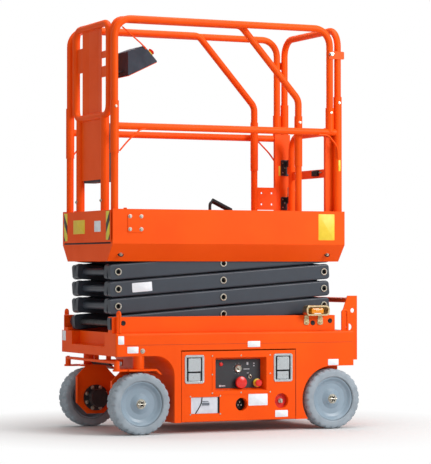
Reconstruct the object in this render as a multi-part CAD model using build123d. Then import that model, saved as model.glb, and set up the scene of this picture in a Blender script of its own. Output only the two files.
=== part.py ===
"""Self-propelled mini scissor lift: a folded chassis on four solid tyres, a four-level scissor stack
and a guarded platform with a roll-out extension. Millimetres, +Z up, +X to the rear (the ladder),
-X to the front (the steered wheels), origin on the floor under the middle of the machine."""

import os
from math import cos, radians, sin

from build123d import *

os.makedirs("parts", exist_ok=True)

# Running clearances
pin_clearance = 0.06
running_gap = 0.3
side_gap = 5.5

# Wheels
wheel_radius = 152.5
tyre_width = 95.0
tyre_outer_y = 380.0
rim_radius = 112.0
rim_recess = 24.0
hub_radius = 29.0
spindle_radius = 16.0
front_axle_x = -541.0
rear_axle_x = 515.5
wheel_middle_y = tyre_outer_y - tyre_width / 2

# Chassis
chassis_front_x = -677.0
chassis_rear_x = 641.5
chassis_half_width = 360.0
bumper_half_width = 376.0
bumper_depth = 46.0
chassis_top_z = 498.5
chassis_bottom_z = 54.0
chassis_fold = 10.0
recess_half_width = 225.0
recess_bottom_z = 431.0
front_arch_rear_x = -359.5
front_arch_top_z = 386.0
front_arch_bend = 100.0
rear_arch_clearance = 15.0
rear_hull_half_width = 262.0
rear_hull_rear_x = 600.0
rear_hull_bottom_z = 83.0
spine_half_width = 125.0
sheet = 8.0
trough_half_width = 272.0
trough_floor_z = 470.0

# Slide-out trays
tray_front_x = -320.5
tray_rear_x = 307.5
tray_top_z = 405.0
tray_bottom_z = 58.0
tray_seam = 3.0
tray_wall = 4.0
tray_inner_y = 135.0
tray_floor_z = 72.0

# Scissor stack
arm_length = 1144.7
stowed_angle = 4.27
first_pin_z = 544.0
rear_pin_x = 522.0
level_count = 4
arm_height = 78.0
outer_arm_outside_y = 262.0
arm_thickness = 38.0
arm_gap = 6.0
arm_end_rear = 30.0
arm_end_front = 42.0
arm_end_bend = 18.0
arm_edge_bend = 9.0
pin_radius = 18.0
pin_bore = 11.5
pin_proud = 3.0
inner_arm_outside_y = outer_arm_outside_y - arm_thickness - arm_gap
inner_arm_inside_y = inner_arm_outside_y - arm_thickness
roller_radius = 29.7
roller_width = 40.0
level_pitch = arm_length * sin(radians(stowed_angle))
pin_spread = arm_length * cos(radians(stowed_angle))
front_pin_x = rear_pin_x - pin_spread
platform_pin_z = first_pin_z + level_count * level_pitch

# Side beams over the chassis
beam_front_x = -680.5
beam_rear_x = 549.5
beam_outside_y = 330.0
beam_top_z = 578.0
beam_wall = 4.0
beam_flange = 52.0

# Platform
deck_front_x = -682.5
deck_rear_x = 600.5
deck_over_pins = 73.07
deck_top_z = platform_pin_z + deck_over_pins
deck_thickness = 6.0
toe_board_rise = 150.0
toe_board_drop = 21.0
toe_top_z = deck_top_z + toe_board_rise
toe_bottom_z = deck_top_z - toe_board_drop
toe_half_width = 343.0
toe_wall = 4.0
skirt_drop = 85.5
skirt_bottom_z = toe_bottom_z - skirt_drop
skirt_inset = 74.0
end_plate = 4.0
lower_tube_radius = 21.5
upper_tube_radius = 17.5
mid_rail_rise = 558.0
mid_rail_z = deck_top_z + mid_rail_rise
top_rail_rise = 1088.0
top_rail_z = deck_top_z + top_rail_rise
rail_bend = 88.0

# Roll-out extension
extension_half_width = 328.5

# Steering
kingpin_radius = 28.0
kingpin_top_z = front_arch_top_z
kingpin_bottom_z = 322.5
knuckle_plate_z = 312.5
knuckle_plate_thickness = 9.5
knuckle_inner_y = 240.0
motor_radius = 66.0
motor_depth = 66.0
steering_arm_length = 115.0
tie_bar_z = 350.0
tie_bar_thickness = 12.0
tie_bar_half_width = 13.0


toward_near = (0, -1, 0)


def block(x0, x1, y0, y1, z0, z1):
    """Straight block between six limits."""
    solid = Box(abs(x1 - x0), abs(y1 - y0), abs(z1 - z0))
    return Pos((x0 + x1) / 2, (y0 + y1) / 2, (z0 + z1) / 2) * solid


def rod_y(x, z, radius, y0, y1):
    """Round bar along Y."""
    return Pos(x, (y0 + y1) / 2, z) * Rot(90, 0, 0) * Cylinder(radius, abs(y1 - y0))


def rod_x(y, z, radius, x0, x1):
    """Round bar along X."""
    return Pos((x0 + x1) / 2, y, z) * Rot(0, 90, 0) * Cylinder(radius, abs(x1 - x0))


def rod_z(x, y, radius, z0, z1):
    """Round bar along Z."""
    return Pos(x, y, (z0 + z1) / 2) * Cylinder(radius, abs(z1 - z0))


def bent_tube(points, radius, bend):
    """Round tube along straight runs joined by one bend radius."""
    path = FilletPolyline(*points, radius=bend)
    start = Plane(origin=path @ 0, z_dir=path % 0)
    return sweep(start * Circle(radius), path=path)


def far_side(shape):
    """The same piece on the other side of the machine."""
    return mirror(shape, about=Plane.XZ)


def both_sides(shape):
    return [shape, far_side(shape)]


def write(name, *shapes):
    """One STEP file for each node; several shapes that do not touch share one file."""
    solids = []
    for shape in shapes:
        solids.extend(shape.solids())
    part = solids[0] if len(solids) == 1 else Compound(children=solids)
    part.label = name
    export_step(part, f"parts/{name}.step")


# Chassis body: a folded box with an open front arch, a round rear arch and a bay for each tray
def chassis_side_outline():
    length = chassis_rear_x - chassis_front_x
    height = chassis_top_z - chassis_bottom_z
    slab = Pos((chassis_front_x + chassis_rear_x) / 2, chassis_bottom_z + height / 2) * Rectangle(length, height)
    bend_x = front_arch_rear_x - front_arch_bend
    bend_z = front_arch_top_z - front_arch_bend
    front_arch = Pos((chassis_front_x + bend_x) / 2, front_arch_top_z / 2) * Rectangle(
        bend_x - chassis_front_x, front_arch_top_z
    )
    front_arch += Pos((chassis_front_x + front_arch_rear_x) / 2, bend_z / 2) * Rectangle(
        front_arch_rear_x - chassis_front_x, bend_z
    )
    front_arch += Pos(bend_x, bend_z) * Circle(front_arch_bend)
    rear_arch_radius = wheel_radius + rear_arch_clearance
    rear_arch_top = wheel_radius + rear_arch_radius
    rear_arch = Pos(rear_axle_x, wheel_radius) * Circle(rear_arch_radius)
    rear_arch += Pos((rear_axle_x + chassis_rear_x) / 2, rear_arch_top / 2) * Rectangle(
        chassis_rear_x - rear_axle_x + sheet, rear_arch_top
    )
    return slab - front_arch - rear_arch


def folded_top(half_width, front_x, rear_x):
    """Long bar whose upper edges carry the bend of the sheet."""
    section = RectangleRounded(2 * half_width, 2 * chassis_top_z, chassis_fold)
    return Pos(front_x, 0, 0) * extrude(Plane.YZ * section, rear_x - front_x, dir=(1, 0, 0))


chassis = extrude(Plane.XZ * chassis_side_outline(), chassis_half_width, both=True)
chassis &= folded_top(chassis_half_width, chassis_front_x, chassis_rear_x)
bumper = block(
    chassis_front_x, chassis_front_x + bumper_depth,
    -bumper_half_width, bumper_half_width,
    front_arch_top_z, chassis_top_z,
)
bumper_corners = bumper.edges().filter_by(Axis.Z).group_by(Axis.X)[0]
bumper = fillet(bumper_corners, chassis_fold)
chassis += bumper & folded_top(bumper_half_width, chassis_front_x, chassis_front_x + bumper_depth)
chassis += block(
    front_arch_rear_x + sheet, rear_hull_rear_x,
    -rear_hull_half_width, rear_hull_half_width,
    rear_hull_bottom_z, front_arch_top_z,
)
bay_front = tray_front_x - tray_seam
bay_rear = tray_rear_x + tray_seam
bay_top = tray_top_z + 2 * tray_seam
bay_floor = chassis_bottom_z + sheet
sill_y = chassis_half_width - 15.0
for side in (1, -1):
    outside = side * 2 * chassis_half_width
    chassis -= block(bay_front, bay_rear, side * spine_half_width, outside, bay_floor, bay_top)
    chassis -= block(bay_front, bay_rear, side * sill_y, outside, 0, bay_top)

# Recess between the two corner blocks of the bumper, and the trough behind it
recess_x = chassis_front_x + bumper_depth
trough_front_x = recess_x + sheet
trough_rear_x = rear_pin_x + 55.0
above_top = 2 * chassis_top_z
chassis -= block(
    2 * chassis_front_x, recess_x, -recess_half_width, recess_half_width, recess_bottom_z, above_top
)
chassis -= block(
    trough_front_x, trough_rear_x, -trough_half_width, trough_half_width, trough_floor_z, above_top
)

# Top frame: the folded ring round the trough, welded on the body
above_trough = block(
    2 * chassis_front_x, 2 * chassis_rear_x,
    -2 * chassis_half_width, 2 * chassis_half_width,
    trough_floor_z, chassis_top_z,
)
write("chassis_top_frame", chassis & above_trough)
chassis -= above_trough

# Lugs on the trough floor that carry the lowest rear pins of the scissor
lug_front_x = rear_pin_x - 42.0
lug_rear_x = rear_pin_x + 32.0
lug_top_z = first_pin_z + 30.0
lug_inner_y = inner_arm_outside_y + side_gap
lug_outer_y = lug_inner_y + 12.0
lower_pin_hole = rod_y(rear_pin_x, first_pin_z, pin_radius + pin_clearance, -lug_outer_y - 1, lug_outer_y + 1)
for side in (1, -1):
    chassis += block(
        lug_front_x, lug_rear_x, side * lug_inner_y, side * lug_outer_y, trough_floor_z - 1, lug_top_z
    )
chassis -= lower_pin_hole

# Rear spindles, and the tubes under the front beam that hold the kingpins
rim_disc_y = tyre_outer_y - rim_recess
hub_end_y = rim_disc_y + 10.0
hub_start_y = wheel_middle_y - 22.0
kingpin_bore = 14.0
spindle_collar = 8.0
kingpin_reach = 20.0
for side in (1, -1):
    root_y = side * (rear_hull_half_width - 1)
    collar_y = side * (hub_start_y - running_gap)
    kingpin_y = side * wheel_middle_y
    chassis += rod_y(rear_axle_x, wheel_radius, spindle_radius, root_y, side * hub_end_y)
    chassis += rod_y(rear_axle_x, wheel_radius, spindle_radius + spindle_collar, root_y, collar_y)
    chassis += rod_z(
        front_axle_x, kingpin_y, kingpin_radius, kingpin_bottom_z + running_gap, kingpin_top_z + 1
    )
    chassis -= rod_z(
        front_axle_x, kingpin_y, kingpin_bore + pin_clearance, kingpin_bottom_z, kingpin_top_z + 1.5 * kingpin_reach
    )

# Bracket of the steering cylinder
cylinder_radius = 13.0
steer_cylinder_x = front_axle_x
steer_cylinder_z = (kingpin_bottom_z + tie_bar_z) / 2
steer_barrel_from_y = 25.0
steer_barrel_to_y = 262.0
steer_rod_radius = 7.0
strap_half_length = 12.0
strap_width = 10.0
for y in (steer_barrel_from_y + 30, steer_barrel_to_y - 40):
    chassis += block(
        steer_cylinder_x - strap_half_length, steer_cylinder_x + strap_half_length,
        y, y + strap_width,
        steer_cylinder_z, front_arch_top_z + 1,
    )
chassis -= rod_y(steer_cylinder_x, steer_cylinder_z, cylinder_radius, steer_barrel_from_y, steer_barrel_to_y)
write("chassis_body", chassis)


# Side beams: channels open to the middle, in which the lowest front rollers run
roller_gap = running_gap
track_low_z = first_pin_z - roller_radius - roller_gap
track_high_z = first_pin_z + roller_radius + roller_gap


def side_beam():
    inner_y = beam_outside_y - beam_flange
    web = block(beam_front_x, beam_rear_x, beam_outside_y - beam_wall, beam_outside_y, chassis_top_z, beam_top_z)
    rail = block(beam_front_x, beam_rear_x, inner_y, beam_outside_y, chassis_top_z, track_low_z)
    flange = block(beam_front_x, beam_rear_x, inner_y, beam_outside_y, track_high_z, beam_top_z)
    return web + rail + flange


write("side_beams", *both_sides(side_beam()))


# Tie-down loops: bent rod standing on the corners of the chassis
loop_radius = 6.5
loop_height = 104.0
loop_width = 30.0
loop_bend = 13.0
loop_middle_y = bumper_half_width - 20.0
loop_corners = [("front", chassis_front_x + 22.0), ("rear", chassis_rear_x - 39.5)]


def tie_down_loop(x):
    low = chassis_top_z
    near = loop_middle_y - loop_width / 2
    far = loop_middle_y + loop_width / 2
    if x > 0:
        points = [(x - loop_width / 2, near, low), (x - loop_width / 2, near, low + loop_height)]
        points += [(x + loop_width / 2, near, low + loop_height), (x + loop_width / 2, near, low)]
    else:
        points = [(x, near, low), (x, near, low + loop_height), (x, far, low + loop_height), (x, far, low)]
    return bent_tube(points, loop_radius, loop_bend)


loops = []
for corner, x in loop_corners:
    loops += both_sides(tie_down_loop(x))
write("tie_down_loops", *loops)


# Ladder at the rear: two shaped side plates with a hand slot each, and two round-cornered treads
ladder_plate = 6.0
ladder_outer_y = 303.0
ladder_rear_x = 693.5
ladder_top_z = 676.0
ladder_bottom_z = 346.5
ladder_foot_x = chassis_rear_x - 30.5
tread_depth = 44.0
tread_thickness = 26.0
hand_slots = [("lower", 646.5, 515.0, 17.0), ("upper", 667.0, 600.0, 12.0)]
tread_heights = [("lower", ladder_bottom_z + 4), ("upper", ladder_top_z - 36)]


def ladder():
    outline = Polyline(
        (chassis_rear_x, ladder_bottom_z),
        (ladder_rear_x, ladder_bottom_z),
        (ladder_rear_x, ladder_top_z),
        (ladder_foot_x + 27, ladder_top_z),
        (ladder_foot_x, ladder_top_z - 76),
        (ladder_foot_x, chassis_top_z),
        (chassis_rear_x, chassis_top_z),
        close=True,
    )
    face = make_face(Plane.XZ * outline)
    plate = Pos(0, ladder_outer_y, 0) * extrude(face, ladder_plate, dir=toward_near)
    for slot, x, z, radius in hand_slots:
        plate -= rod_y(x, z, radius, 0, 2 * ladder_outer_y)
    whole = plate + far_side(plate)
    for tread, z in tread_heights:
        step = block(
            ladder_rear_x - tread_depth, ladder_rear_x - 3, 1 - ladder_outer_y, ladder_outer_y - 1, z, z + tread_thickness
        )
        whole += fillet(step.edges().filter_by(Axis.Y), 6)
    return whole


write("ladder", ladder())


# Beacon in its strap guard on the near side beam
beacon_x = 437.0
beacon_radius = 24.0
beacon_base_z = 530.0
beacon_y = -(beam_outside_y + beacon_radius + 1)
guard_width = 134.5
guard_height = 95.0
guard_bend = 26.0
guard_strap = 3.0
guard_half_depth = 10.0


def beacon():
    foot_z = beacon_base_z + guard_strap
    lamp_top = foot_z + 54
    foot = rod_z(beacon_x, beacon_y, beacon_radius, foot_z, foot_z + 12)
    lamp = rod_z(beacon_x, beacon_y, beacon_radius - 2, foot_z + 12, lamp_top)
    return foot + lamp + Pos(beacon_x, beacon_y, lamp_top) * Sphere(beacon_radius - 2)


def beacon_guard():
    outside = RectangleRounded(guard_width, guard_height, guard_bend)
    inside = RectangleRounded(guard_width - 2 * guard_strap, guard_height - 2 * guard_strap, guard_bend - guard_strap)
    strap = extrude(Plane.XZ * (outside - inside), guard_half_depth, both=True)
    strap = Pos(beacon_x, beacon_y, beacon_base_z + guard_height / 2) * strap
    tab_half = guard_width / 2 - guard_bend
    return strap + block(
        beacon_x - tab_half, beacon_x + tab_half, beacon_y, -beam_outside_y, beacon_base_z, beacon_base_z + guard_strap
    )


write("beacon", beacon())
write("beacon_guard", beacon_guard())


# Slide-out trays: a door sheet with a drawer behind it
door_inside_y = chassis_half_width - tray_wall
drawer_top_z = 200.0
drawer_inset = 5.0
runner_width = 30.0
latch_front_x = -305.5
latch_rear_x = 184.5
latch_width = 107.0
latch_bottom_z = 245.0
latch_top_z = 388.0
latch_plate = 3.0
latch_flange = 12.0
latch_depth = 18.0
latch_middle_z = (latch_bottom_z + latch_top_z) / 2
latch_height = latch_top_z - latch_bottom_z
dish_width = latch_width - 2 * latch_flange
dish_height = latch_height - 2 * latch_flange


def latch_middles():
    return [latch_front_x + latch_width / 2, latch_rear_x + latch_width / 2]


def tray():
    door = block(tray_front_x, tray_rear_x, door_inside_y, chassis_half_width, tray_bottom_z, tray_top_z)
    for x in latch_middles():
        hole = block(
            x - dish_width / 2 - latch_plate, x + dish_width / 2 + latch_plate,
            0, 2 * chassis_half_width,
            latch_bottom_z + latch_flange - latch_plate, latch_top_z - latch_flange + latch_plate,
        )
        door -= hole
    front = tray_front_x + drawer_inset
    rear = tray_rear_x - drawer_inset
    floor = block(front, rear, tray_inner_y, door_inside_y, tray_floor_z - tray_wall, tray_floor_z)
    back = block(front, rear, tray_inner_y, tray_inner_y + tray_wall, tray_floor_z, drawer_top_z)
    drawer = door + floor + back
    for x in (front, rear - tray_wall):
        drawer += block(x, x + tray_wall, tray_inner_y, door_inside_y, tray_floor_z, drawer_top_z)
    for x in (front + 2 * runner_width, rear - 3 * runner_width):
        drawer += block(x, x + runner_width, tray_inner_y, sill_y - 2, bay_floor, tray_floor_z - tray_wall)
    return drawer


# Paddle latches, two on each tray: a dish sunk in the door with a hinged paddle
def paddle_latches():
    pair = []
    for x in latch_middles():
        bezel = Plane.XZ * Pos(x, latch_middle_z) * RectangleRounded(latch_width, latch_height, latch_flange)
        dish = Plane.XZ * Pos(x, latch_middle_z) * RectangleRounded(dish_width, dish_height, latch_plate + 2)
        shell = Plane.XZ * Pos(x, latch_middle_z) * RectangleRounded(
            dish_width + 2 * latch_plate - 1, dish_height + 2 * latch_plate - 1, latch_plate + 4
        )
        latch = Pos(0, chassis_half_width + latch_plate, 0) * extrude(bezel, latch_plate, dir=toward_near)
        latch += Pos(0, chassis_half_width, 0) * extrude(shell, latch_depth, dir=toward_near)
        latch -= Pos(0, chassis_half_width + latch_plate, 0) * extrude(dish, latch_depth, dir=toward_near)
        paddle = Polyline(
            (chassis_half_width - latch_depth, latch_top_z - 26),
            (chassis_half_width + latch_plate, latch_top_z - 32),
            (chassis_half_width + latch_plate + 3, latch_bottom_z + 30),
            (chassis_half_width - 4, latch_bottom_z + 24),
            (chassis_half_width - latch_depth, latch_top_z - 60),
            close=True,
        )
        paddle = extrude(Plane.YZ * make_face(paddle), dish_width / 2 - 10, both=True)
        pair.append(latch + Pos(x, 0, 0) * paddle)
    return pair


# Cut-outs of the near door: the sunk panel of the ground controls, a round socket, the recess of the
# red switch and the window of the oil gauge
panel_front_x = -138.5
panel_rear_x = 144.0
panel_bottom_z = 205.0
panel_top_z = 372.0
panel_depth = 48.0
panel_taper = 9.0
panel_wall = 2.5
panel_frame = 17.0
round_ports = [("socket", 6.5, 137.0, 33.0, 40.0), ("switch", 229.5, 149.0, 38.0, 25.0)]
gauge_window = (-270.5, -114.5, 96.0, 178.0)
panel_middle_x = (panel_front_x + panel_rear_x) / 2
panel_middle_z = (panel_bottom_z + panel_top_z) / 2
panel_width = panel_rear_x - panel_front_x
panel_height = panel_top_z - panel_bottom_z


def sunk_panel(grown, mouth_y, floor_y):
    """Tapered hollow of the control panel, or the pan round it where it is grown by the wall."""
    faces = []
    for y, inset in ((mouth_y, 0.0), (floor_y, panel_taper)):
        outline = Rectangle(panel_width + 2 * (grown - inset), panel_height + 2 * (grown - inset))
        faces.append(Plane((panel_middle_x, -y, panel_middle_z), x_dir=(1, 0, 0), z_dir=(0, -1, 0)) * outline)
    return loft(faces)


def hydraulic_tray():
    drawer = far_side(tray())
    face_y = chassis_half_width
    border = block(
        panel_front_x - panel_frame, panel_rear_x + panel_frame,
        -(face_y + 2), -(face_y - 1),
        panel_bottom_z - panel_frame, panel_top_z + panel_frame,
    )
    border = fillet(border.edges().filter_by(Axis.Y), panel_frame / 2)
    drawer += border
    drawer += sunk_panel(panel_wall, face_y, face_y - panel_depth - panel_wall)
    drawer -= sunk_panel(0.0, face_y + 2, face_y - panel_depth)
    for port, x, z, radius, depth in round_ports:
        drawer += rod_y(x, z, radius + panel_wall, -face_y, panel_wall + depth - face_y)
        drawer -= rod_y(x, z, radius, -face_y - 1, depth - face_y)
    front, rear, low, high = gauge_window
    drawer -= block(front, rear, -face_y - 1, tray_wall + 1 - face_y, low, high)
    return drawer


write("battery_tray", tray())
write("battery_tray_latches", *paddle_latches())
write("hydraulic_tray", hydraulic_tray())
write("hydraulic_tray_latches", *[far_side(latch) for latch in paddle_latches()])

# What the trays carry
battery_top_z = 340.0
unit_outer_y = chassis_half_width - panel_depth - 12.0
tank_rear_x = -40.0
tank_top_z = 330.0
pump_rear_x = 200.0
pump_top_z = 195.0
write(
    "battery_pack",
    block(tray_front_x + 25, tray_rear_x - 25, tray_inner_y + 12, door_inside_y - 24, tray_floor_z, battery_top_z),
)
write(
    "hydraulic_unit",
    block(tray_front_x + 60, tank_rear_x, -unit_outer_y, -(tray_inner_y + 12), tray_floor_z, tank_top_z)
    + block(tank_rear_x, pump_rear_x, -unit_outer_y, -(tray_inner_y + 20), tray_floor_z, pump_top_z),
)

# Ground controls: a plate on the floor of the sunk panel with its switches
control_floor_y = chassis_half_width - panel_depth
control_plate = 2.0
stop_head_height = 17.0
control_inset = panel_taper + 2.0
controls = [
    ("key switch", 8.0, 313.5, 19.0, 14.0),
    ("stop button collar", 15.7, 246.0, 20.0, 18.0),
    ("stop button head", 15.7, 246.0, 31.0, 34.0),
    ("lift switch collar", 111.0, 241.0, 20.0, 12.0),
    ("lift switch lever", 111.0, 241.0, 8.0, 30.0),
    ("charge lamp", -88.0, 336.0, 7.0, 8.0),
    ("toggle", 74.0, 272.0, 6.0, 20.0),
]
ground_controls = block(
    panel_front_x + control_inset, panel_rear_x - control_inset,
    -(control_floor_y + control_plate), -control_floor_y,
    panel_bottom_z + control_inset, panel_top_z - control_inset,
)
plate_y = -(control_floor_y + control_plate)
for control, x, z, radius, height in controls:
    base = height - stop_head_height if control == "stop button head" else -1
    ground_controls += rod_y(x, z, radius, plate_y - height, plate_y - base)
write("ground_controls", ground_controls)


# Wheels: pressed rims with raised hubs, and solid tyres
rim_half_width = 38.0
rim_wall = 9.0
rim_press_bend = 2.5


def rim(x, side):
    """Section of the pressed dish from its bore outwards, turned round the axle."""
    bore = spindle_radius + pin_clearance
    barrel_inside = rim_radius - rim_wall
    inner_end = wheel_middle_y - rim_half_width
    outer_end = wheel_middle_y + rim_half_width
    disc_back_y = rim_disc_y - rim_wall
    section = FilletPolyline(
        (bore, hub_start_y),
        (hub_radius, hub_start_y),
        (hub_radius, disc_back_y),
        (barrel_inside - 8, disc_back_y),
        (barrel_inside, disc_back_y - 8),
        (barrel_inside, inner_end),
        (rim_radius, inner_end),
        (rim_radius, outer_end),
        (rim_radius - rim_wall + 1, outer_end),
        (barrel_inside - 12, rim_disc_y + 2),
        (barrel_inside - 26, rim_disc_y - 4),
        (hub_radius + 22, rim_disc_y - 4),
        (hub_radius + 8, rim_disc_y + 4),
        (hub_radius, hub_end_y),
        (bore, hub_end_y),
        radius=rim_press_bend,
        close=True,
    )
    dish = revolve(make_face(section), Axis.Y)
    dish = Pos(x, 0, wheel_radius) * dish
    return dish if side > 0 else far_side(dish)


def tyre(x, side):
    middle = side * wheel_middle_y
    solid = rod_y(x, wheel_radius, wheel_radius, middle - tyre_width / 2, middle + tyre_width / 2)
    solid = chamfer(solid.edges(), 7)
    return solid - rod_y(x, wheel_radius, rim_radius, middle - tyre_width, middle + tyre_width)


wheel_table = [
    ("front_near", front_axle_x, -1),
    ("front_far", front_axle_x, 1),
    ("rear_near", rear_axle_x, -1),
    ("rear_far", rear_axle_x, 1),
]
for place, x, side in wheel_table:
    write(f"tyre_{place}", tyre(x, side))
    write(f"rim_{place}", rim(x, side))


# Steering knuckles: a plate over the tyre, a plate inside it and the spindle
knuckle_plate_y = knuckle_inner_y + knuckle_plate_thickness
tie_pin_x = front_axle_x - steering_arm_length
tie_boss_radius = 14.0
tie_pin_radius = 8.0


knuckle_low_z = 71.0
knuckle_half_length = 105.5
knuckle_corner = 60.0
knuckle_roof_y = wheel_middle_y + 30.0
roof_flat_half = 87.0
roof_droop_x = front_axle_x + 114.0
roof_droop = 27.0
wall_flange = 14.0


def knuckle():
    top_z = knuckle_plate_z + knuckle_plate_thickness
    flat_end_x = front_axle_x + roof_flat_half
    profile = Polyline(
        (front_axle_x - 62, knuckle_plate_z),
        (front_axle_x - 62, top_z),
        (flat_end_x, top_z),
        (roof_droop_x, top_z - roof_droop),
        (roof_droop_x - knuckle_plate_thickness, top_z - roof_droop),
        (flat_end_x - 4, knuckle_plate_z),
        close=True,
    )
    roof = extrude(Plane.XZ * make_face(profile), knuckle_roof_y - knuckle_inner_y, dir=toward_near)
    roof = Pos(0, knuckle_roof_y, 0) * roof
    front = front_axle_x - knuckle_half_length
    rear = front_axle_x + knuckle_half_length
    outline = Polyline(
        (front, knuckle_low_z + knuckle_corner),
        (front + knuckle_corner, knuckle_low_z),
        (rear - knuckle_corner, knuckle_low_z),
        (rear, knuckle_low_z + knuckle_corner),
        (rear, top_z - knuckle_corner),
        (rear - knuckle_corner, top_z),
        (front + knuckle_corner, top_z),
        (front, top_z - knuckle_corner),
        close=True,
    )
    wall = extrude(Plane.XZ * make_face(outline), knuckle_plate_thickness, dir=toward_near)
    wall = Pos(0, knuckle_plate_y, 0) * wall
    for x in (front, rear - 5):
        wall += block(
            x, x + 5, knuckle_inner_y - wall_flange, knuckle_plate_y, knuckle_low_z + knuckle_corner, top_z - knuckle_corner
        )
    spindle = rod_y(front_axle_x, wheel_radius, spindle_radius, knuckle_inner_y, hub_end_y)
    spindle += rod_y(front_axle_x, wheel_radius, spindle_radius + 12, knuckle_inner_y, hub_start_y - running_gap)
    arm = block(tie_pin_x, front_axle_x - 50, wheel_middle_y - 20, wheel_middle_y + 20, knuckle_plate_z, top_z)
    arm += rod_z(tie_pin_x, wheel_middle_y, 20, knuckle_plate_z, top_z)
    boss = rod_z(tie_pin_x, wheel_middle_y, tie_boss_radius, top_z - 1, tie_bar_z - running_gap)
    pin = rod_z(tie_pin_x, wheel_middle_y, tie_pin_radius, top_z, tie_bar_z + tie_bar_thickness + 4)
    kingpin = rod_z(front_axle_x, wheel_middle_y, kingpin_bore, knuckle_plate_z, kingpin_top_z + kingpin_reach)
    return roof + wall + spindle + arm + boss + pin + kingpin


def drive_motor():
    flange = rod_y(front_axle_x, wheel_radius, motor_radius, knuckle_inner_y - 12, knuckle_inner_y)
    body = rod_y(front_axle_x, wheel_radius, 46, knuckle_inner_y - motor_depth, knuckle_inner_y - 12)
    return flange + body


write("knuckle_far", knuckle())
write("knuckle_near", far_side(knuckle()))
write("drive_motor_far", drive_motor())
write("drive_motor_near", far_side(drive_motor()))


# Tie bar with the lug for the rod of the steering cylinder
steer_eye_y = -100.0


def tie_bar():
    top = tie_bar_z + tie_bar_thickness
    bar = block(tie_pin_x - tie_bar_half_width, tie_pin_x + tie_bar_half_width, -wheel_middle_y, wheel_middle_y, tie_bar_z, top)
    lug = block(tie_pin_x, steer_cylinder_x, steer_eye_y - 14, steer_eye_y + 14, tie_bar_z, top)
    lug += rod_z(steer_cylinder_x, steer_eye_y, 14, tie_bar_z, top)
    bar += lug
    for side in (1, -1):
        bar += rod_z(tie_pin_x, side * wheel_middle_y, tie_boss_radius, tie_bar_z, top)
        bar -= rod_z(tie_pin_x, side * wheel_middle_y, tie_pin_radius + pin_clearance, tie_bar_z - 1, top + 1)
    return bar


def steer_barrel():
    barrel = rod_y(steer_cylinder_x, steer_cylinder_z, cylinder_radius, steer_barrel_from_y, steer_barrel_to_y)
    return barrel - rod_y(
        steer_cylinder_x, steer_cylinder_z, steer_rod_radius + pin_clearance, steer_barrel_from_y - 1, steer_barrel_to_y - 6
    )


def steer_rod():
    rod = rod_y(steer_cylinder_x, steer_cylinder_z, steer_rod_radius, steer_eye_y, steer_barrel_from_y + 112)
    return rod + rod_z(steer_cylinder_x, steer_eye_y, 12, steer_cylinder_z - 8, tie_bar_z - running_gap)


write("tie_bar", tie_bar())
write("steering_cylinder", steer_barrel())
write("steering_rod", steer_rod())


# Scissor arms, laid along X from the front pin
def arm_bar(y0, y1):
    """Rectangular tube with the corner radii of its section along it and rounded ends."""
    width = abs(y1 - y0)
    length = arm_length + arm_end_front + arm_end_rear
    middle = (arm_length + arm_end_rear - arm_end_front) / 2
    side_view = RectangleRounded(length, arm_height, arm_end_bend)
    bar = extrude(Plane.XZ * Pos(middle, 0) * side_view, width, dir=toward_near)
    section = RectangleRounded(width, arm_height, arm_edge_bend)
    bar &= extrude(Plane.YZ * Pos(-width / 2, 0) * section, length, both=True)
    return Pos(0, max(y0, y1), 0) * bar


def lay(shape, level, kind):
    """Sets an arm at its stowed place: outer arms rise to the rear, inner arms rise to the front."""
    front_level = level if kind == "outer" else level + 1
    turn = -stowed_angle if kind == "outer" else stowed_angle
    return Pos(front_pin_x, 0, first_pin_z + front_level * level_pitch) * Rot(0, turn, 0) * shape


# Seat of the lift cylinder: a cross bar on the lowest inner arms and lugs on the third inner arms
lift_base_from_front_pin = 99.7
lift_base_run = arm_length - lift_base_from_front_pin
lift_base_pin_radius = 15.0
lift_head_run = 62.0
lift_head_rise = 86.0
lift_head_pin_radius = 14.0
lift_head_level = 2
lift_lug_inner_y = 31.0
lift_lug_thickness = 12.0
lift_yoke_from_y = 162.0
lift_tube_radius = 18.0
pin_end_y = outer_arm_outside_y + pin_proud


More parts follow.
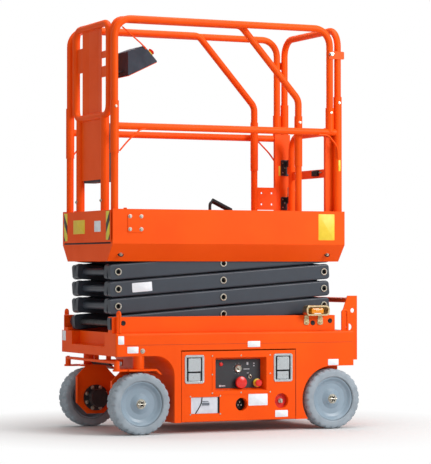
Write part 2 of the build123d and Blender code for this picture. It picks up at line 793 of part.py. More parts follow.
def inner_pair(level):
    arm = arm_bar(inner_arm_inside_y, inner_arm_outside_y)
    pair = arm + far_side(arm)
    cross_end = pin_end_y if level else lug_outer_y + pin_proud
    cross_start = lift_yoke_from_y if level == lift_head_level else 0
    for side in (1, -1):
        pair += rod_y(arm_length, 0, pin_radius, side * cross_start, side * cross_end)
    bores = [(arm_length, cross_end)]
    for side in (1, -1):
        pair += rod_y(arm_length / 2, 0, pin_radius, side * (inner_arm_inside_y + 1), side * pin_end_y)
    bores.append((arm_length / 2, pin_end_y))
    if level < level_count - 1:
        pair += rod_y(0, 0, pin_radius, -pin_end_y, pin_end_y)
        bores.append((0, pin_end_y))
    else:
        inside = inner_arm_inside_y - side_gap
        for side in (1, -1):
            pair += rod_y(0, 0, pin_radius, side * (inside - roller_width), side * inner_arm_outside_y)
            pair += rod_y(0, 0, roller_radius, side * (inside - roller_width), side * inside)
    if level == 0:
        base_end_y = inner_arm_inside_y + 1
        pair += rod_y(lift_base_from_front_pin, 0, lift_base_pin_radius, -base_end_y, base_end_y)
    if level == lift_head_level:
        head_x = arm_length - lift_head_run
        for side in (1, -1):
            near = side * lift_yoke_from_y
            far = side * (inner_arm_inside_y - side_gap)
            root = Pos(arm_length, 0) * Circle(pin_radius + 12)
            tip = Pos(head_x, lift_head_rise) * Circle(lift_tube_radius + 4)
            outline = make_hull(root.edges() + tip.edges())
            lug = extrude(Plane.XZ * outline, abs(far - near), dir=toward_near)
            pair += Pos(0, max(near, far), 0) * lug
            pair += rod_y(arm_length, 0, pin_radius + 10, near, side * (inner_arm_inside_y + 1))
            pair += rod_y(head_x, lift_head_rise, lift_tube_radius, side * lift_lug_inner_y, far)
            cheek = side * (lift_lug_inner_y + lift_lug_thickness)
            pair += rod_y(head_x, lift_head_rise, lift_tube_radius + 6, side * lift_lug_inner_y, cheek)
    for x, end in bores:
        pair -= rod_y(x, 0, pin_bore, end - 26, end + 1)
        pair -= rod_y(x, 0, pin_bore, -end - 1, -end + 26)
    return pair


def outer_pair(level):
    arm = arm_bar(outer_arm_outside_y - arm_thickness, outer_arm_outside_y)
    hole_runs = [0, arm_length / 2, arm_length]
    if level == 0:
        hole_runs = hole_runs[1:]
        track_y = beam_outside_y - beam_wall - side_gap
        arm += rod_y(0, 0, pin_radius, outer_arm_outside_y - 1, track_y)
        arm += rod_y(0, 0, roller_radius, track_y - roller_width, track_y)
    for x in hole_runs:
        arm -= rod_y(x, 0, pin_radius + pin_clearance, 0, 2 * outer_arm_outside_y)
    return both_sides(arm)


for level in range(level_count):
    write(f"inner_arms_{level + 1}", lay(inner_pair(level), level, "inner"))
    write(f"outer_arms_{level + 1}", *[lay(arm, level, "outer") for arm in outer_pair(level)])


# Lift cylinder, laid along +X from its base pin and then turned to its head pin
slope = radians(stowed_angle)
lift_base_x = rear_pin_x - lift_base_run * cos(slope)
lift_base_z = first_pin_z + lift_base_run * sin(slope)
lift_head_x = rear_pin_x - lift_head_run * cos(slope) + lift_head_rise * sin(slope)
lift_head_z = first_pin_z + 2 * level_pitch + lift_head_run * sin(slope) + lift_head_rise * cos(slope)
lift_run = Vector(lift_head_x - lift_base_x, 0, lift_head_z - lift_base_z)
lift_pitch = Vector(1, 0, 0).get_angle(lift_run)
lift_barrel_radius = 36.0
lift_barrel_length = 800.0
lift_rod_radius = 20.0
lift_eye_width = 56.0


def lay_lift(shape):
    return Pos(lift_base_x, 0, lift_base_z) * Rot(0, -lift_pitch, 0) * shape


def lift_barrel():
    barrel = rod_x(0, 0, lift_barrel_radius, 30, lift_barrel_length)
    barrel += rod_x(0, 0, lift_barrel_radius + 5, lift_barrel_length - 30, lift_barrel_length)
    barrel += rod_y(0, 0, lift_base_pin_radius + 16, -lift_eye_width / 2, lift_eye_width / 2)
    barrel += block(0, 60, -lift_eye_width / 2 + 6, lift_eye_width / 2 - 6, -26, 26)
    barrel -= rod_x(0, 0, lift_rod_radius + pin_clearance, 80, lift_barrel_length + 1)
    return barrel - rod_y(0, 0, lift_base_pin_radius + pin_clearance, -lift_eye_width, lift_eye_width)


def lift_rod():
    rod = rod_x(0, 0, lift_rod_radius, 90, lift_run.length - 10)
    rod += rod_y(lift_run.length, 0, lift_head_pin_radius + 12, -lift_eye_width / 2, lift_eye_width / 2)
    pin_half = lift_lug_inner_y - running_gap
    return rod + rod_y(lift_run.length, 0, lift_head_pin_radius, -pin_half, pin_half)


write("lift_cylinder", lay_lift(lift_barrel()))
write("lift_rod", lay_lift(lift_rod()))


# Platform frame: deck, sloped skirts, end plates, cross members, roller channels and rear pin lugs
cross_member_front_x = -220.0
cross_member_rear_x = 240.0


def platform_frame():
    under = deck_top_z - deck_thickness
    wall_y = toe_half_width - toe_wall
    frame = block(deck_front_x, deck_rear_x, -wall_y, wall_y, under, deck_top_z)
    skirt_y = toe_half_width - skirt_inset
    outline = Polyline(
        (toe_half_width, toe_bottom_z),
        (skirt_y + 2, skirt_bottom_z),
        (skirt_y - 2.5, skirt_bottom_z),
        (wall_y - toe_wall, toe_bottom_z - 4),
        (wall_y - toe_wall, under),
        (wall_y, under),
        (wall_y, toe_bottom_z),
        close=True,
    )
    skirt = extrude(Plane.YZ * make_face(outline), deck_rear_x - deck_front_x, dir=(1, 0, 0))
    skirt = Pos(deck_front_x, 0, 0) * skirt
    frame += skirt + far_side(skirt)
    for x in (deck_front_x, deck_rear_x - end_plate):
        closing = make_face(Polyline(
            (-toe_half_width, toe_bottom_z),
            (-skirt_y, skirt_bottom_z),
            (skirt_y, skirt_bottom_z),
            (toe_half_width, toe_bottom_z),
            close=True,
        ))
        frame += Pos(x, 0, 0) * extrude(Plane.YZ * closing, end_plate, dir=(1, 0, 0))
        frame += block(x, x + end_plate, -wall_y, wall_y, toe_bottom_z - 1, under)
    for x in (deck_front_x + 3, cross_member_front_x, cross_member_rear_x, deck_rear_x - 33):
        frame += block(x, x + 30, -wall_y + 2, wall_y - 2, under - 16, under)
    channel_low = platform_pin_z - roller_radius - roller_gap
    channel_high = platform_pin_z + roller_radius + roller_gap
    outer_y = inner_arm_inside_y - side_gap
    inner_y = outer_y - roller_width - side_gap
    channel_rear_x = 30.0
    for side in (1, -1):
        front = deck_front_x + end_plate
        back_y = side * inner_y
        open_y = side * outer_y
        web = block(front, channel_rear_x, back_y - side * beam_wall, back_y, channel_low - 5, under)
        low = block(front, channel_rear_x, back_y, open_y, channel_low - 5, channel_low)
        high = block(front, channel_rear_x, back_y, open_y, channel_high, channel_high + 5)
        frame += web + low + high
        lug_y = outer_arm_outside_y - arm_thickness - side_gap
        frame += block(rear_pin_x - 40, rear_pin_x + 50, side * (lug_y - 12), side * lug_y, skirt_bottom_z, under)
        frame += rod_y(rear_pin_x, platform_pin_z, pin_radius, side * (lug_y - 14), side * pin_end_y)
        frame -= rod_y(rear_pin_x, platform_pin_z, pin_bore, side * (pin_end_y - 26), side * (pin_end_y + 1))
    return frame


write("platform_frame", platform_frame())


# Toe boards along both sides
def toe_board():
    board = block(deck_front_x, deck_rear_x, toe_half_width - toe_wall, toe_half_width, toe_bottom_z, toe_top_z)
    lip = block(deck_front_x, deck_rear_x, toe_half_width - 16, toe_half_width - toe_wall, toe_top_z - 4, toe_top_z)
    return board + lip


write("toe_boards", *both_sides(toe_board()))


# Lower guard rails: posts and mid rail on each side, with the sockets of the upper rails
front_post_x = -657.0
side_rear_post_x = 534.0
gate_post_x = 580.0
post_y = toe_half_width - 16 - lower_tube_radius - 1
side_socket_z = deck_top_z + 682.0
rear_socket_z = deck_top_z + 740.0
sleeve_length = 257.0
post_web = 3.0
post_front_x = 512.0
post_rear_x = 602.0
post_flange = 20.0
gate_post_face_y = post_y - lower_tube_radius - post_web + 1


def lower_rail():
    sleeve_z = side_socket_z - sleeve_length
    rail = rod_z(front_post_x, post_y, upper_tube_radius + 1, deck_top_z, sleeve_z)
    rail += rod_z(front_post_x, post_y, lower_tube_radius, sleeve_z, side_socket_z)
    rail += rod_z(side_rear_post_x, post_y, lower_tube_radius, mid_rail_z, side_socket_z)
    rail += rod_z(gate_post_x, post_y, lower_tube_radius, deck_top_z, rear_socket_z)
    rail += rod_x(post_y, mid_rail_z, upper_tube_radius, front_post_x, gate_post_x)
    return rail + rear_post_channel()


def rear_post_channel():
    """Folded channel of the gate post, open to the outside below the mid rail."""
    top_z = mid_rail_z + lower_tube_radius
    edge_y = gate_post_face_y + post_flange
    channel = block(post_front_x, post_rear_x, gate_post_face_y, gate_post_face_y + post_web, deck_top_z, top_z)
    for x in (post_front_x, post_rear_x - post_web):
        channel += block(x, x + post_web, gate_post_face_y, edge_y, deck_top_z, top_z)
    return channel


write("lower_rails", *both_sides(lower_rail()))


# Upper side rails and the upper frame over the gate, pinned into their sockets
def upper_side_rail():
    points = [
        (front_post_x, post_y, side_socket_z),
        (front_post_x, post_y, top_rail_z),
        (side_rear_post_x, post_y, top_rail_z),
        (side_rear_post_x, post_y, side_socket_z),
    ]
    return bent_tube(points, upper_tube_radius, rail_bend)


write("upper_side_rails", *both_sides(upper_side_rail()))
rear_frame_points = [
    (gate_post_x, -post_y, rear_socket_z),
    (gate_post_x, -post_y, top_rail_z),
    (gate_post_x, post_y, top_rail_z),
    (gate_post_x, post_y, rear_socket_z),
]
write("rear_upper_frame", bent_tube(rear_frame_points, upper_tube_radius, rail_bend))


# Entry gate: an arch of tube with a bar across, hung on the far post and latched to the near one
gate_half_width = 217.0
gate_tube_radius = 18.0
gate_top_z = mid_rail_z + 7.0
gate_bottom_z = deck_top_z + 127.0
gate_bar_z = deck_top_z + 353.0
gate_hinge_y = 248.0
hinge_radius = 11.0
hinge_heights = (deck_top_z + 207.0, deck_top_z + 404.0)
hinge_length = 76.0
hinge_pin_radius = 5.0
hinge_leaf = 4.0


def gate():
    points = [
        (gate_post_x, -gate_half_width, gate_bottom_z),
        (gate_post_x, -gate_half_width, gate_top_z),
        (gate_post_x, gate_half_width, gate_top_z),
        (gate_post_x, gate_half_width, gate_bottom_z),
    ]
    leaf_from_x = gate_post_x - hinge_leaf
    leaf_to_x = gate_post_x + hinge_leaf
    half = hinge_length / 2
    frame = bent_tube(points, gate_tube_radius, 80.0)
    bar = block(
        leaf_from_x, leaf_to_x, -gate_half_width, gate_half_width, gate_bar_z - 22, gate_bar_z + 22
    )
    frame += bar
    for z in hinge_heights:
        frame += rod_z(gate_post_x, gate_hinge_y, hinge_radius, z - half, z)
        frame += block(leaf_from_x, leaf_to_x, gate_half_width, gate_hinge_y, z - half + 4, z - 4)
        frame += rod_z(gate_post_x, gate_hinge_y, hinge_pin_radius, z, z + half)
    return frame


def gate_fittings():
    pieces = []
    for z in hinge_heights:
        fixed = rod_z(gate_post_x, gate_hinge_y, hinge_radius, z + running_gap, z + hinge_length / 2)
        fixed += block(
            gate_post_x - hinge_leaf, gate_post_x + hinge_leaf,
            gate_hinge_y, gate_post_face_y,
            z + 4, z + hinge_length / 2 - 4,
        )
        bore = hinge_pin_radius + pin_clearance
        pieces.append(fixed - rod_z(gate_post_x, gate_hinge_y, bore, z, z + hinge_length))
    keeper = block(
        gate_post_x - 5, gate_post_x + 5,
        -gate_post_face_y, -(gate_half_width + 24),
        gate_bar_z - 30, gate_bar_z + 30,
    )
    pieces.append(keeper)
    return pieces


write("gate", gate())
write("gate_hinges", *gate_fittings())


# Roll-out extension: a thin deck on the main deck with its own rails and front
extension_deck_thickness = 4.0
extension_rail_y = post_y - lower_tube_radius - upper_tube_radius - 6
extension_deck_half = extension_rail_y + upper_tube_radius - 1
extension_post_x = 376.5
extension_deck_rear_x = extension_post_x + 30
extension_frame_x = -653.0
extension_frame_half = extension_rail_y - 2 * upper_tube_radius - 2
extension_deck_top = deck_top_z + extension_deck_thickness
extension_toe_front_x = deck_front_x - 4
slope_start_x = 50.0
slope_end_z = top_rail_z - 366.0
frame_bottom_z = top_rail_z - 468.0
frame_top_z = top_rail_z - 12.0
front_plate_bottom_z = deck_top_z - 12.0
front_plate_top_z = deck_top_z + 145.0
extension_sleeve_z = mid_rail_z + 76.0
extension_sleeve_radius = upper_tube_radius + 3.0


def extension_deck():
    plate_back_x = extension_toe_front_x + end_plate
    deck = block(
        plate_back_x, extension_deck_rear_x,
        -extension_deck_half, extension_deck_half,
        deck_top_z, extension_deck_top,
    )
    plate = block(
        extension_toe_front_x, plate_back_x,
        -extension_half_width, extension_half_width,
        front_plate_bottom_z, front_plate_top_z,
    )
    return deck + fillet(plate.edges().filter_by(Axis.X).group_by(Axis.Z)[-1], 12)


def extension_side_rail():
    points = [
        (extension_frame_x, extension_rail_y, top_rail_z),
        (slope_start_x, extension_rail_y, top_rail_z),
        (extension_post_x, extension_rail_y, slope_end_z),
        (extension_post_x, extension_rail_y, extension_deck_top),
    ]
    sleeve = rod_z(
        extension_post_x, extension_rail_y, extension_sleeve_radius, extension_sleeve_z - sleeve_length, extension_sleeve_z
    )
    return bent_tube(points, upper_tube_radius, 60.0) + sleeve


def extension_front_frame():
    bend = 60.0
    lap = -1.0
    corners = [
        (extension_frame_x, lap, frame_bottom_z),
        (extension_frame_x, extension_frame_half, frame_bottom_z),
        (extension_frame_x, extension_frame_half, frame_top_z),
        (extension_frame_x, lap, frame_top_z),
    ]
    half = bent_tube(corners, upper_tube_radius, bend)
    frame = half + far_side(half)
    leg_y = 167.5
    for side in (1, -1):
        frame += rod_z(extension_frame_x, side * leg_y, lower_tube_radius, extension_deck_top, frame_bottom_z)
        rail_y = side * extension_rail_y
        frame += block(
            extension_frame_x, extension_frame_x + bend,
            side * (extension_frame_half - bend), rail_y,
            top_rail_z - 3, top_rail_z + 3,
        )
        frame -= rod_x(rail_y, top_rail_z, upper_tube_radius, extension_frame_x - 1, extension_frame_x + 99)
    return frame


write("extension_deck", extension_deck())
write("extension_side_rails", *both_sides(extension_side_rail()))
write("extension_front_frame", extension_front_frame())
panel_x = extension_frame_x
lower_panel_bottom_z = deck_top_z + 302.0
panel_half_width = 130.0
lower_panel_half_width = 145.9
panel_sheet = 3.0
panel_folds = (-73.0, 58.0)
panel_set_back = 7.0


def folded_panel(low_z, high_z):
    """Sheet with its middle third set back between two folds."""
    front = []
    back = []
    for y, x in (
        (-panel_half_width, panel_x - 4),
        (panel_folds[0], panel_x - 4 + panel_set_back),
        (panel_folds[1], panel_x - 4 + panel_set_back),
        (panel_half_width, panel_x - 4),
    ):
        front.append((x, y))
        back.insert(0, (x + panel_sheet, y))
    return Pos(0, 0, low_z) * extrude(make_face(Polyline(*front, *back, close=True)), high_z - low_z)


write(
    "front_panels",
    folded_panel(frame_bottom_z + upper_tube_radius, frame_top_z - upper_tube_radius),
    block(
        panel_x - 2, panel_x + 2,
        -lower_panel_half_width, lower_panel_half_width,
        lower_panel_bottom_z, frame_bottom_z - upper_tube_radius,
    ),
)
document_box = block(panel_x + 2, panel_x + 62, -125, 125, deck_top_z + 290, deck_top_z + 582)
write("document_box", fillet(document_box.edges().filter_by(Axis.Z).group_by(Axis.X)[-1], 8))


# Control box hung inside the front of the extension
box_corners = [("front top", 118.5, 320.0), ("peak", 206.5, 353.0), ("rear", 278.5, 275.0), ("front foot", 118.5, 198.0)]
box_width = 200.0
box_near_y = -180.0
box_bracket_rise = 222.0


def control_box():
    outline = Polyline(*[(panel_x + x, frame_bottom_z + z) for corner, x, z in box_corners], close=True)
    box = Pos(0, box_near_y + box_width, 0) * extrude(make_face(Plane.XZ * outline), box_width, dir=toward_near)
    box = fillet(box.edges().filter_by(Axis.Y), 5)
    low_z = frame_bottom_z + box_bracket_rise
    return box + block(
        panel_x - 4 + panel_set_back + panel_sheet, panel_x + box_corners[0][1],
        -128, -40,
        low_z, low_z + 6,
    )


write("control_box", control_box())


# Accessory plate with four bolt holes, on the far post of the extension
plate_from_x = extension_post_x + upper_tube_radius + 1
plate_bottom_z = deck_top_z + 172.0
plate_top_z = deck_top_z + 292.0
plate_length = 108.0
plate_half_thickness = 3.0
bolt_spacing = 60.0
bolt_hole_radius = 5.5
bolt_edge = 24.0
accessory_plate = block(
    plate_from_x - 10, plate_from_x + plate_length,
    extension_rail_y - plate_half_thickness, extension_rail_y + plate_half_thickness,
    plate_bottom_z, plate_top_z,
)
plate_middle_z = (plate_bottom_z + plate_top_z) / 2
for x in (plate_from_x + bolt_edge, plate_from_x + bolt_edge + bolt_spacing):
    for z in (plate_middle_z - bolt_spacing / 2, plate_middle_z + bolt_spacing / 2):
        accessory_plate -= rod_y(x, z, bolt_hole_radius, 0, 2 * extension_rail_y)
accessory_plate -= rod_z(
    extension_post_x, extension_rail_y, upper_tube_radius, plate_bottom_z - 1, plate_top_z + 1
)
write("accessory_plate", accessory_plate)


# Lock lever of the extension, on its deck at the far side
lever_y = 225.0
lever_points = [
    (100.0, lever_y, extension_deck_top),
    (100.0, lever_y, deck_top_z + 222.0),
    (228.0, lever_y, deck_top_z + 162.0),
]
write("extension_lock_lever", bent_tube(lever_points, 8.0, 20.0))
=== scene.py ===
import math

import bmesh
import bpy
from mathutils import Matrix, Vector


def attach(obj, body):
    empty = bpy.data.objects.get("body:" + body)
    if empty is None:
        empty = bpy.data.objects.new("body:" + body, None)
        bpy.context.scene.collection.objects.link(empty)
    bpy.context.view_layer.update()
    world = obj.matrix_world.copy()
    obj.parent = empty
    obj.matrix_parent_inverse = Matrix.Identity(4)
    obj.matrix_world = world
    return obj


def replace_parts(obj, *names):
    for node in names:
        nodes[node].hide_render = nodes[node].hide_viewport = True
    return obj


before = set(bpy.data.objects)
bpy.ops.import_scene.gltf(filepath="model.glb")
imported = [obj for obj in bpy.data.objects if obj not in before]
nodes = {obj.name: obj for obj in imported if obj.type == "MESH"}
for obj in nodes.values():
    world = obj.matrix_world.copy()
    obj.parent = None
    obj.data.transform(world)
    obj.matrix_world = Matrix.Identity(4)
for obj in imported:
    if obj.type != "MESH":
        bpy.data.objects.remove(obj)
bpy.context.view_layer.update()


# Studio: a white paper floor that runs out to a white room, lit softly from the near side and from above.
# The floor is matt paper and keeps the machine's shadow; the room shows white to the camera alone, straight on
# or through glass, and every other ray meets the soft room light.
def linear(hex_colour, alpha=1.0):
    """sRGB hex to linear RGBA."""
    values = [int(hex_colour[i : i + 2], 16) / 255 for i in (1, 3, 5)]
    return [v / 12.92 if v <= 0.04045 else ((v + 0.055) / 1.055) ** 2.4 for v in values] + [alpha]


def add(tree, kind, settings=None, links=None):
    """Adds one shader node with its settings and what feeds its inputs."""
    node = tree.nodes.new("ShaderNode" + kind)
    for key, value in (settings or {}).items():
        if isinstance(key, int) or key in node.inputs:
            node.inputs[key].default_value = value
        else:
            setattr(node, key, value)
    for key, source in (links or {}).items():
        tree.links.new(source, node.inputs[key])
    return node


scene = bpy.context.scene
scene.view_settings.view_transform = "Standard"

world = bpy.data.worlds.new("white_room")
world.use_nodes = True
scene.world = world
tree = world.node_tree
tree.nodes.clear()
seen = add(tree, "LightPath")
straight, through = seen.outputs["Is Camera Ray"], seen.outputs["Is Transmission Ray"]
shown = add(tree, "Math", {"operation": "MAXIMUM"}, {0: straight, 1: through})
room_light = add(tree, "Background", {"Color": linear("#FAF8F6"), "Strength": 0.44})
room_white = add(tree, "Background", {"Color": linear("#FFFFFF"), "Strength": 1.0})
room = add(tree, "MixShader", links={0: shown.outputs[0], 1: room_light.outputs[0], 2: room_white.outputs[0]})
add(tree, "OutputWorld", links={"Surface": room.outputs[0]})

paper = bpy.data.materials.new("matt_white_paper")
paper.use_nodes = True
tree = paper.node_tree
tree.nodes.clear()
seen = add(tree, "LightPath")
straight, through = seen.outputs["Is Camera Ray"], seen.outputs["Is Transmission Ray"]
shown = add(tree, "Math", {"operation": "MAXIMUM"}, {0: straight, 1: through})
sheet = add(tree, "BsdfDiffuse", {"Color": linear("#D2D2D2")})
glow = add(tree, "Emission", {"Color": linear("#FFFFFF"), "Strength": 0.02})
lifted = add(tree, "AddShader", links={0: sheet.outputs[0], 1: glow.outputs[0]})
# The paper's own light rises to white from 0.75 m to 1.6 m out, so that no edge of the floor shows
place_on_floor = add(tree, "TexCoord")
outwards = add(tree, "VectorMath", {"operation": "LENGTH"}, {0: place_on_floor.outputs["Object"]})
far_out = add(tree, "MapRange", {"From Min": 0.75, "From Max": 1.6}, {"Value": outwards.outputs["Value"]})
plain_white = add(tree, "Emission", {"Color": linear("#FFFFFF"), "Strength": 1.0})
near_or_far = add(
    tree, "MixShader", links={0: far_out.outputs["Result"], 1: lifted.outputs[0], 2: plain_white.outputs[0]}
)
both = add(tree, "MixShader", links={0: shown.outputs[0], 1: sheet.outputs[0], 2: near_or_far.outputs[0]})
add(tree, "OutputMaterial", links={"Surface": both.outputs[0]})

floor_mesh = bpy.data.meshes.new("paper_floor")
bm = bmesh.new()
bmesh.ops.create_grid(bm, x_segments=8, y_segments=8, size=60)
bm.to_mesh(floor_mesh)
bm.free()
floor_mesh.materials.append(paper)
floor = bpy.data.objects.new("paper_floor", floor_mesh)
scene.collection.objects.link(floor)

# Each lamp: name, place in metres, what it is aimed at, width of its disc in metres, and watts
lamp_table = [
    ("key", (3.2, -5.2, 3.6), (0.0, 0.0, 0.7), 3.2, 315),
    ("overhead", (0.2, -0.4, 5.2), (0.0, 0.0, 0.5), 3.6, 150),
    ("front_fill", (-6.0, -1.2, 2.6), (-0.4, 0.0, 0.8), 2.6, 30),
    ("back_fill", (1.5, 6.0, 3.0), (0.0, 0.0, 0.9), 3.0, 90),
]
for name, spot, aim, size, power in lamp_table:
    lamp = bpy.data.lights.new(name, "AREA")
    lamp.shape = "DISK"
    lamp.size = size
    lamp.energy = power
    stand = bpy.data.objects.new(name, lamp)
    stand.location = spot
    stand.rotation_euler = (Vector(aim) - Vector(spot)).to_track_quat("-Z", "Y").to_euler()
    scene.collection.objects.link(stand)

# Camera: turned from straight along +Y towards +X and lifted a little, as in the photo
camera_turn = math.radians(24.78)
camera_lift = math.radians(1.023)
camera = bpy.data.objects.new("camera", bpy.data.cameras.new("camera"))
camera.location = (-4.5754, -9.9733, 0.8083)
camera.rotation_euler = (
    Vector((
        math.sin(camera_turn) * math.cos(camera_lift),
        math.cos(camera_turn) * math.cos(camera_lift),
        math.sin(camera_lift),
    ))
    .to_track_quat("-Z", "Y")
    .to_euler()
)
camera.data.lens = 165.06
camera.data.sensor_width = 36
scene.collection.objects.link(camera)
scene.camera = camera


# Chassis: folded and welded sheet steel with side beams, ladder and tie-down loops, shot-blasted and powder
# coated in one orange. Small round plugs close the beam's service holes and blank stickers mark the corners.
def surface(name, colour, second, metallic, rough, rough_spread, patch_mm, grain_mm, grain_lift, **extra):
    """A finish: two close tones in patches, roughness that varies with them, and a fine grain in relief.

    patch_mm and grain_mm are real spans, from one patch or crest to the next. Grain finer than about a
    millimetre is drawn at that, coarser than the real one, so that it shows.
    """
    made = bpy.data.materials.new(name)
    made.use_nodes = True
    tree = made.node_tree
    tree.nodes.clear()
    where = add(tree, "TexCoord")
    at = {"Vector": where.outputs["Object"]}
    patches = add(tree, "TexNoise", {"Scale": 1000 / patch_mm, "Detail": 3.0, "Roughness": 0.55}, at)
    toned = add(tree, "MapRange", {"From Min": 0.35, "From Max": 0.65}, {"Value": patches.outputs["Fac"]})
    tone = add(
        tree, "MixRGB", {"Color1": linear(colour), "Color2": linear(second)}, {"Fac": toned.outputs["Result"]}
    )
    gloss = add(
        tree,
        "MapRange",
        {"From Min": 0.3, "From Max": 0.7, "To Min": rough - rough_spread, "To Max": rough + rough_spread},
        {"Value": patches.outputs["Fac"]},
    )
    grain = add(tree, "TexNoise", {"Scale": 1000 / grain_mm, "Detail": 1.0}, at)
    relief = add(
        tree, "Bump", {"Strength": grain_lift, "Distance": grain_mm / 5000}, {"Height": grain.outputs["Fac"]}
    )
    skin = add(
        tree,
        "BsdfPrincipled",
        {"Metallic": metallic, **extra},
        {
            "Base Color": tone.outputs["Color"],
            "Roughness": gloss.outputs["Result"],
            "Normal": relief.outputs["Normal"],
        },
    )
    add(tree, "OutputMaterial", links={"Surface": skin.outputs["BSDF"]})
    return made


# Orange-peel of a thick powder coat, 3 mm between crests: soft broken highlights over a flat strong orange
powder_orange = surface(
    "powder_coated_steel_orange", "#F4560A", "#EE5007", 0.0, 0.42, 0.05, 260, 3, 0.10,
    **{"IOR": 1.5, "Specular IOR Level": 0.12},
)


def dress(finish, *names):
    """Gives carried-over solids their real finish."""
    for name in names:
        shape = nodes[name].data
        shape.materials.clear()
        shape.materials.append(finish)


def soften(width_mm, *names):
    """Breaks the sheet edges as folding and blasting do, so that they catch the light."""
    for name in names:
        weld = nodes[name].modifiers.new("weld", "WELD")
        weld.merge_threshold = 0.00002
        edge = nodes[name].modifiers.new("edge", "BEVEL")
        edge.width = width_mm / 1000
        edge.segments = 2
        edge.limit_method = "ANGLE"
        edge.angle_limit = math.radians(40)
        edge.harden_normals = True


dress(powder_orange, "chassis_body", "chassis_top_frame", "side_beams", "tie_down_loops", "ladder")
soften(2.0, "chassis_body", "side_beams", "ladder")

SIDES = {
    "near": ((1, 0, 0), (0, 0, 1), (0, -1, 0)),
    "far": ((-1, 0, 0), (0, 0, 1), (0, 1, 0)),
    "front": ((0, -1, 0), (0, 0, 1), (-1, 0, 0)),
    "rear": ((0, 1, 0), (0, 0, 1), (1, 0, 0)),
    "top": ((1, 0, 0), (0, 1, 0), (0, 0, 1)),
}


def place(side, x, y, z):
    """Local axes on a face of the machine: x to the right, y up, z outwards."""
    right, up, out = SIDES[side]
    turned = Matrix((right, up, out)).transposed().to_4x4()
    return Matrix.Translation((x, y, z)) @ turned


def turned_form(bm, where, profile, steps=20, index=0):
    """Adds a form turned about the local z axis from (radius, height) pairs; a radius of 0 closes an end."""
    rings = []
    for radius, height in profile:
        if radius == 0:
            rings.append([bm.verts.new(where @ Vector((0, 0, height)))])
            continue
        ring = []
        for k in range(steps):
            a = 2 * math.pi * k / steps
            ring.append(bm.verts.new(where @ Vector((radius * math.cos(a), radius * math.sin(a), height))))
        rings.append(ring)
    for low, high in zip(rings, rings[1:]):
        for k in range(steps):
            n = (k + 1) % steps
            if len(low) == 1:
                corners = (low[0], high[n], high[k])
            elif len(high) == 1:
                corners = (low[k], low[n], high[0])
            else:
                corners = (low[k], low[n], high[n], high[k])
            bm.faces.new(corners).material_index = index


def rounded(width, height, corner, steps=4):
    """Outline of a round-cornered rectangle about the origin."""
    points = []
    for cx, cy, start in ((1, 1, 0), (-1, 1, 90), (-1, -1, 180), (1, -1, 270)):
        for k in range(steps + 1):
            a = math.radians(start + 90 * k / steps)
            x = cx * (width / 2 - corner) + corner * math.cos(a)
            y = cy * (height / 2 - corner) + corner * math.sin(a)
            points.append((x, y))
    return points


def pressed_form(bm, where, outline, levels, index=0, open_back=True):
    """Adds a plate from one outline: each level is (inset, height), joined in turn and closed at the last."""
    rings = []
    count = len(outline)
    for inset, height in levels:
        ring = []
        for k in range(count):
            before, here, after = (Vector(outline[(k + s) % count]) for s in (-1, 0, 1))
            first, second = (here - before).normalized(), (after - here).normalized()
            normal = Vector((-(first.y + second.y), first.x + second.x))
            normal = normal.normalized() if normal.length > 1e-9 else Vector((0, 0))
            across = max(0.3, normal.dot(Vector((-first.y, first.x))))
            point = here + normal * (inset / across)
            ring.append(bm.verts.new(where @ Vector((point.x, point.y, height))))
        rings.append(ring)
    for low, high in zip(rings, rings[1:]):
        for k in range(count):
            n = (k + 1) % count
            bm.faces.new((low[k], low[n], high[n], high[k])).material_index = index
    bm.faces.new(rings[-1]).material_index = index
    if not open_back:
        bm.faces.new(list(reversed(rings[0]))).material_index = index


def piece(name, bm, finishes, body, smooth=35):
    """Turns the collected faces into one named piece that rides on a body."""
    shape = bpy.data.meshes.new(name)
    bmesh.ops.recalc_face_normals(bm, faces=bm.faces)
    bm.to_mesh(shape)
    bm.free()
    for finish in finishes:
        shape.materials.append(finish)
    made = bpy.data.objects.new(name, shape)
    scene.collection.objects.link(made)
    shape.shade_smooth()
    shape.set_sharp_from_angle(angle=math.radians(smooth))
    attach(made, body)
    return made


# Moulded black polyethylene: dull, faintly pebbled, with a soft wide highlight
black_moulding = surface(
    "moulded_black_polyethylene", "#141517", "#1B1C1F", 0.0, 0.5, 0.06, 40, 1.2, 0.25,
    **{"IOR": 1.5, "Specular IOR Level": 0.25},
)
# Zinc plate, yellow passivated: bright grey metal with a warm cast that changes from part to part
zinc_plate = surface("zinc_plated_steel", "#C8C7C1", "#B3AD98", 1.0, 0.36, 0.08, 9, 0.8, 0.12)
# Printed vinyl sticker, left blank: plain satin white with a slight grey print ground
white_vinyl = surface("printed_vinyl_white", "#E9ECF0", "#DDE3EA", 0.0, 0.42, 0.04, 30, 2, 0.04, IOR=1.46)

# Outer faces of the side beams, of the chassis body and of the bumper, from the middle plane
beam_face = 0.330
chassis_face = 0.360
bumper_face = 0.376
plug_profile = [(0.0125, 0), (0.0125, 0.0012), (0.0105, 0.0028), (0.006, 0.0022), (0, 0.0018)]
bm = bmesh.new()
for x, z in ((-0.6205, 0.548), (0.4225, 0.539), (0.5215, 0.549)):
    for side, y in (("near", -beam_face), ("far", beam_face)):
        turned_form(bm, place(side, x, y, z), plug_profile, 18)
piece("beam_plugs", bm, [black_moulding], "chassis")


def bolt_head(bm, where, across, index=0):
    """A hexagon head with its chamfer, on a washer."""
    washer = across * 0.95
    turned_form(bm, where, [(washer, 0), (washer, across * 0.12), (across * 0.5, across * 0.14)], 16, index)
    corner = across / math.sqrt(3)
    seat, chamfer, top = across * 0.12, across * 0.55, across * 0.66
    turned_form(bm, where, [(corner, seat), (corner, chamfer), (corner * 0.84, top), (0, top)], 6, index)


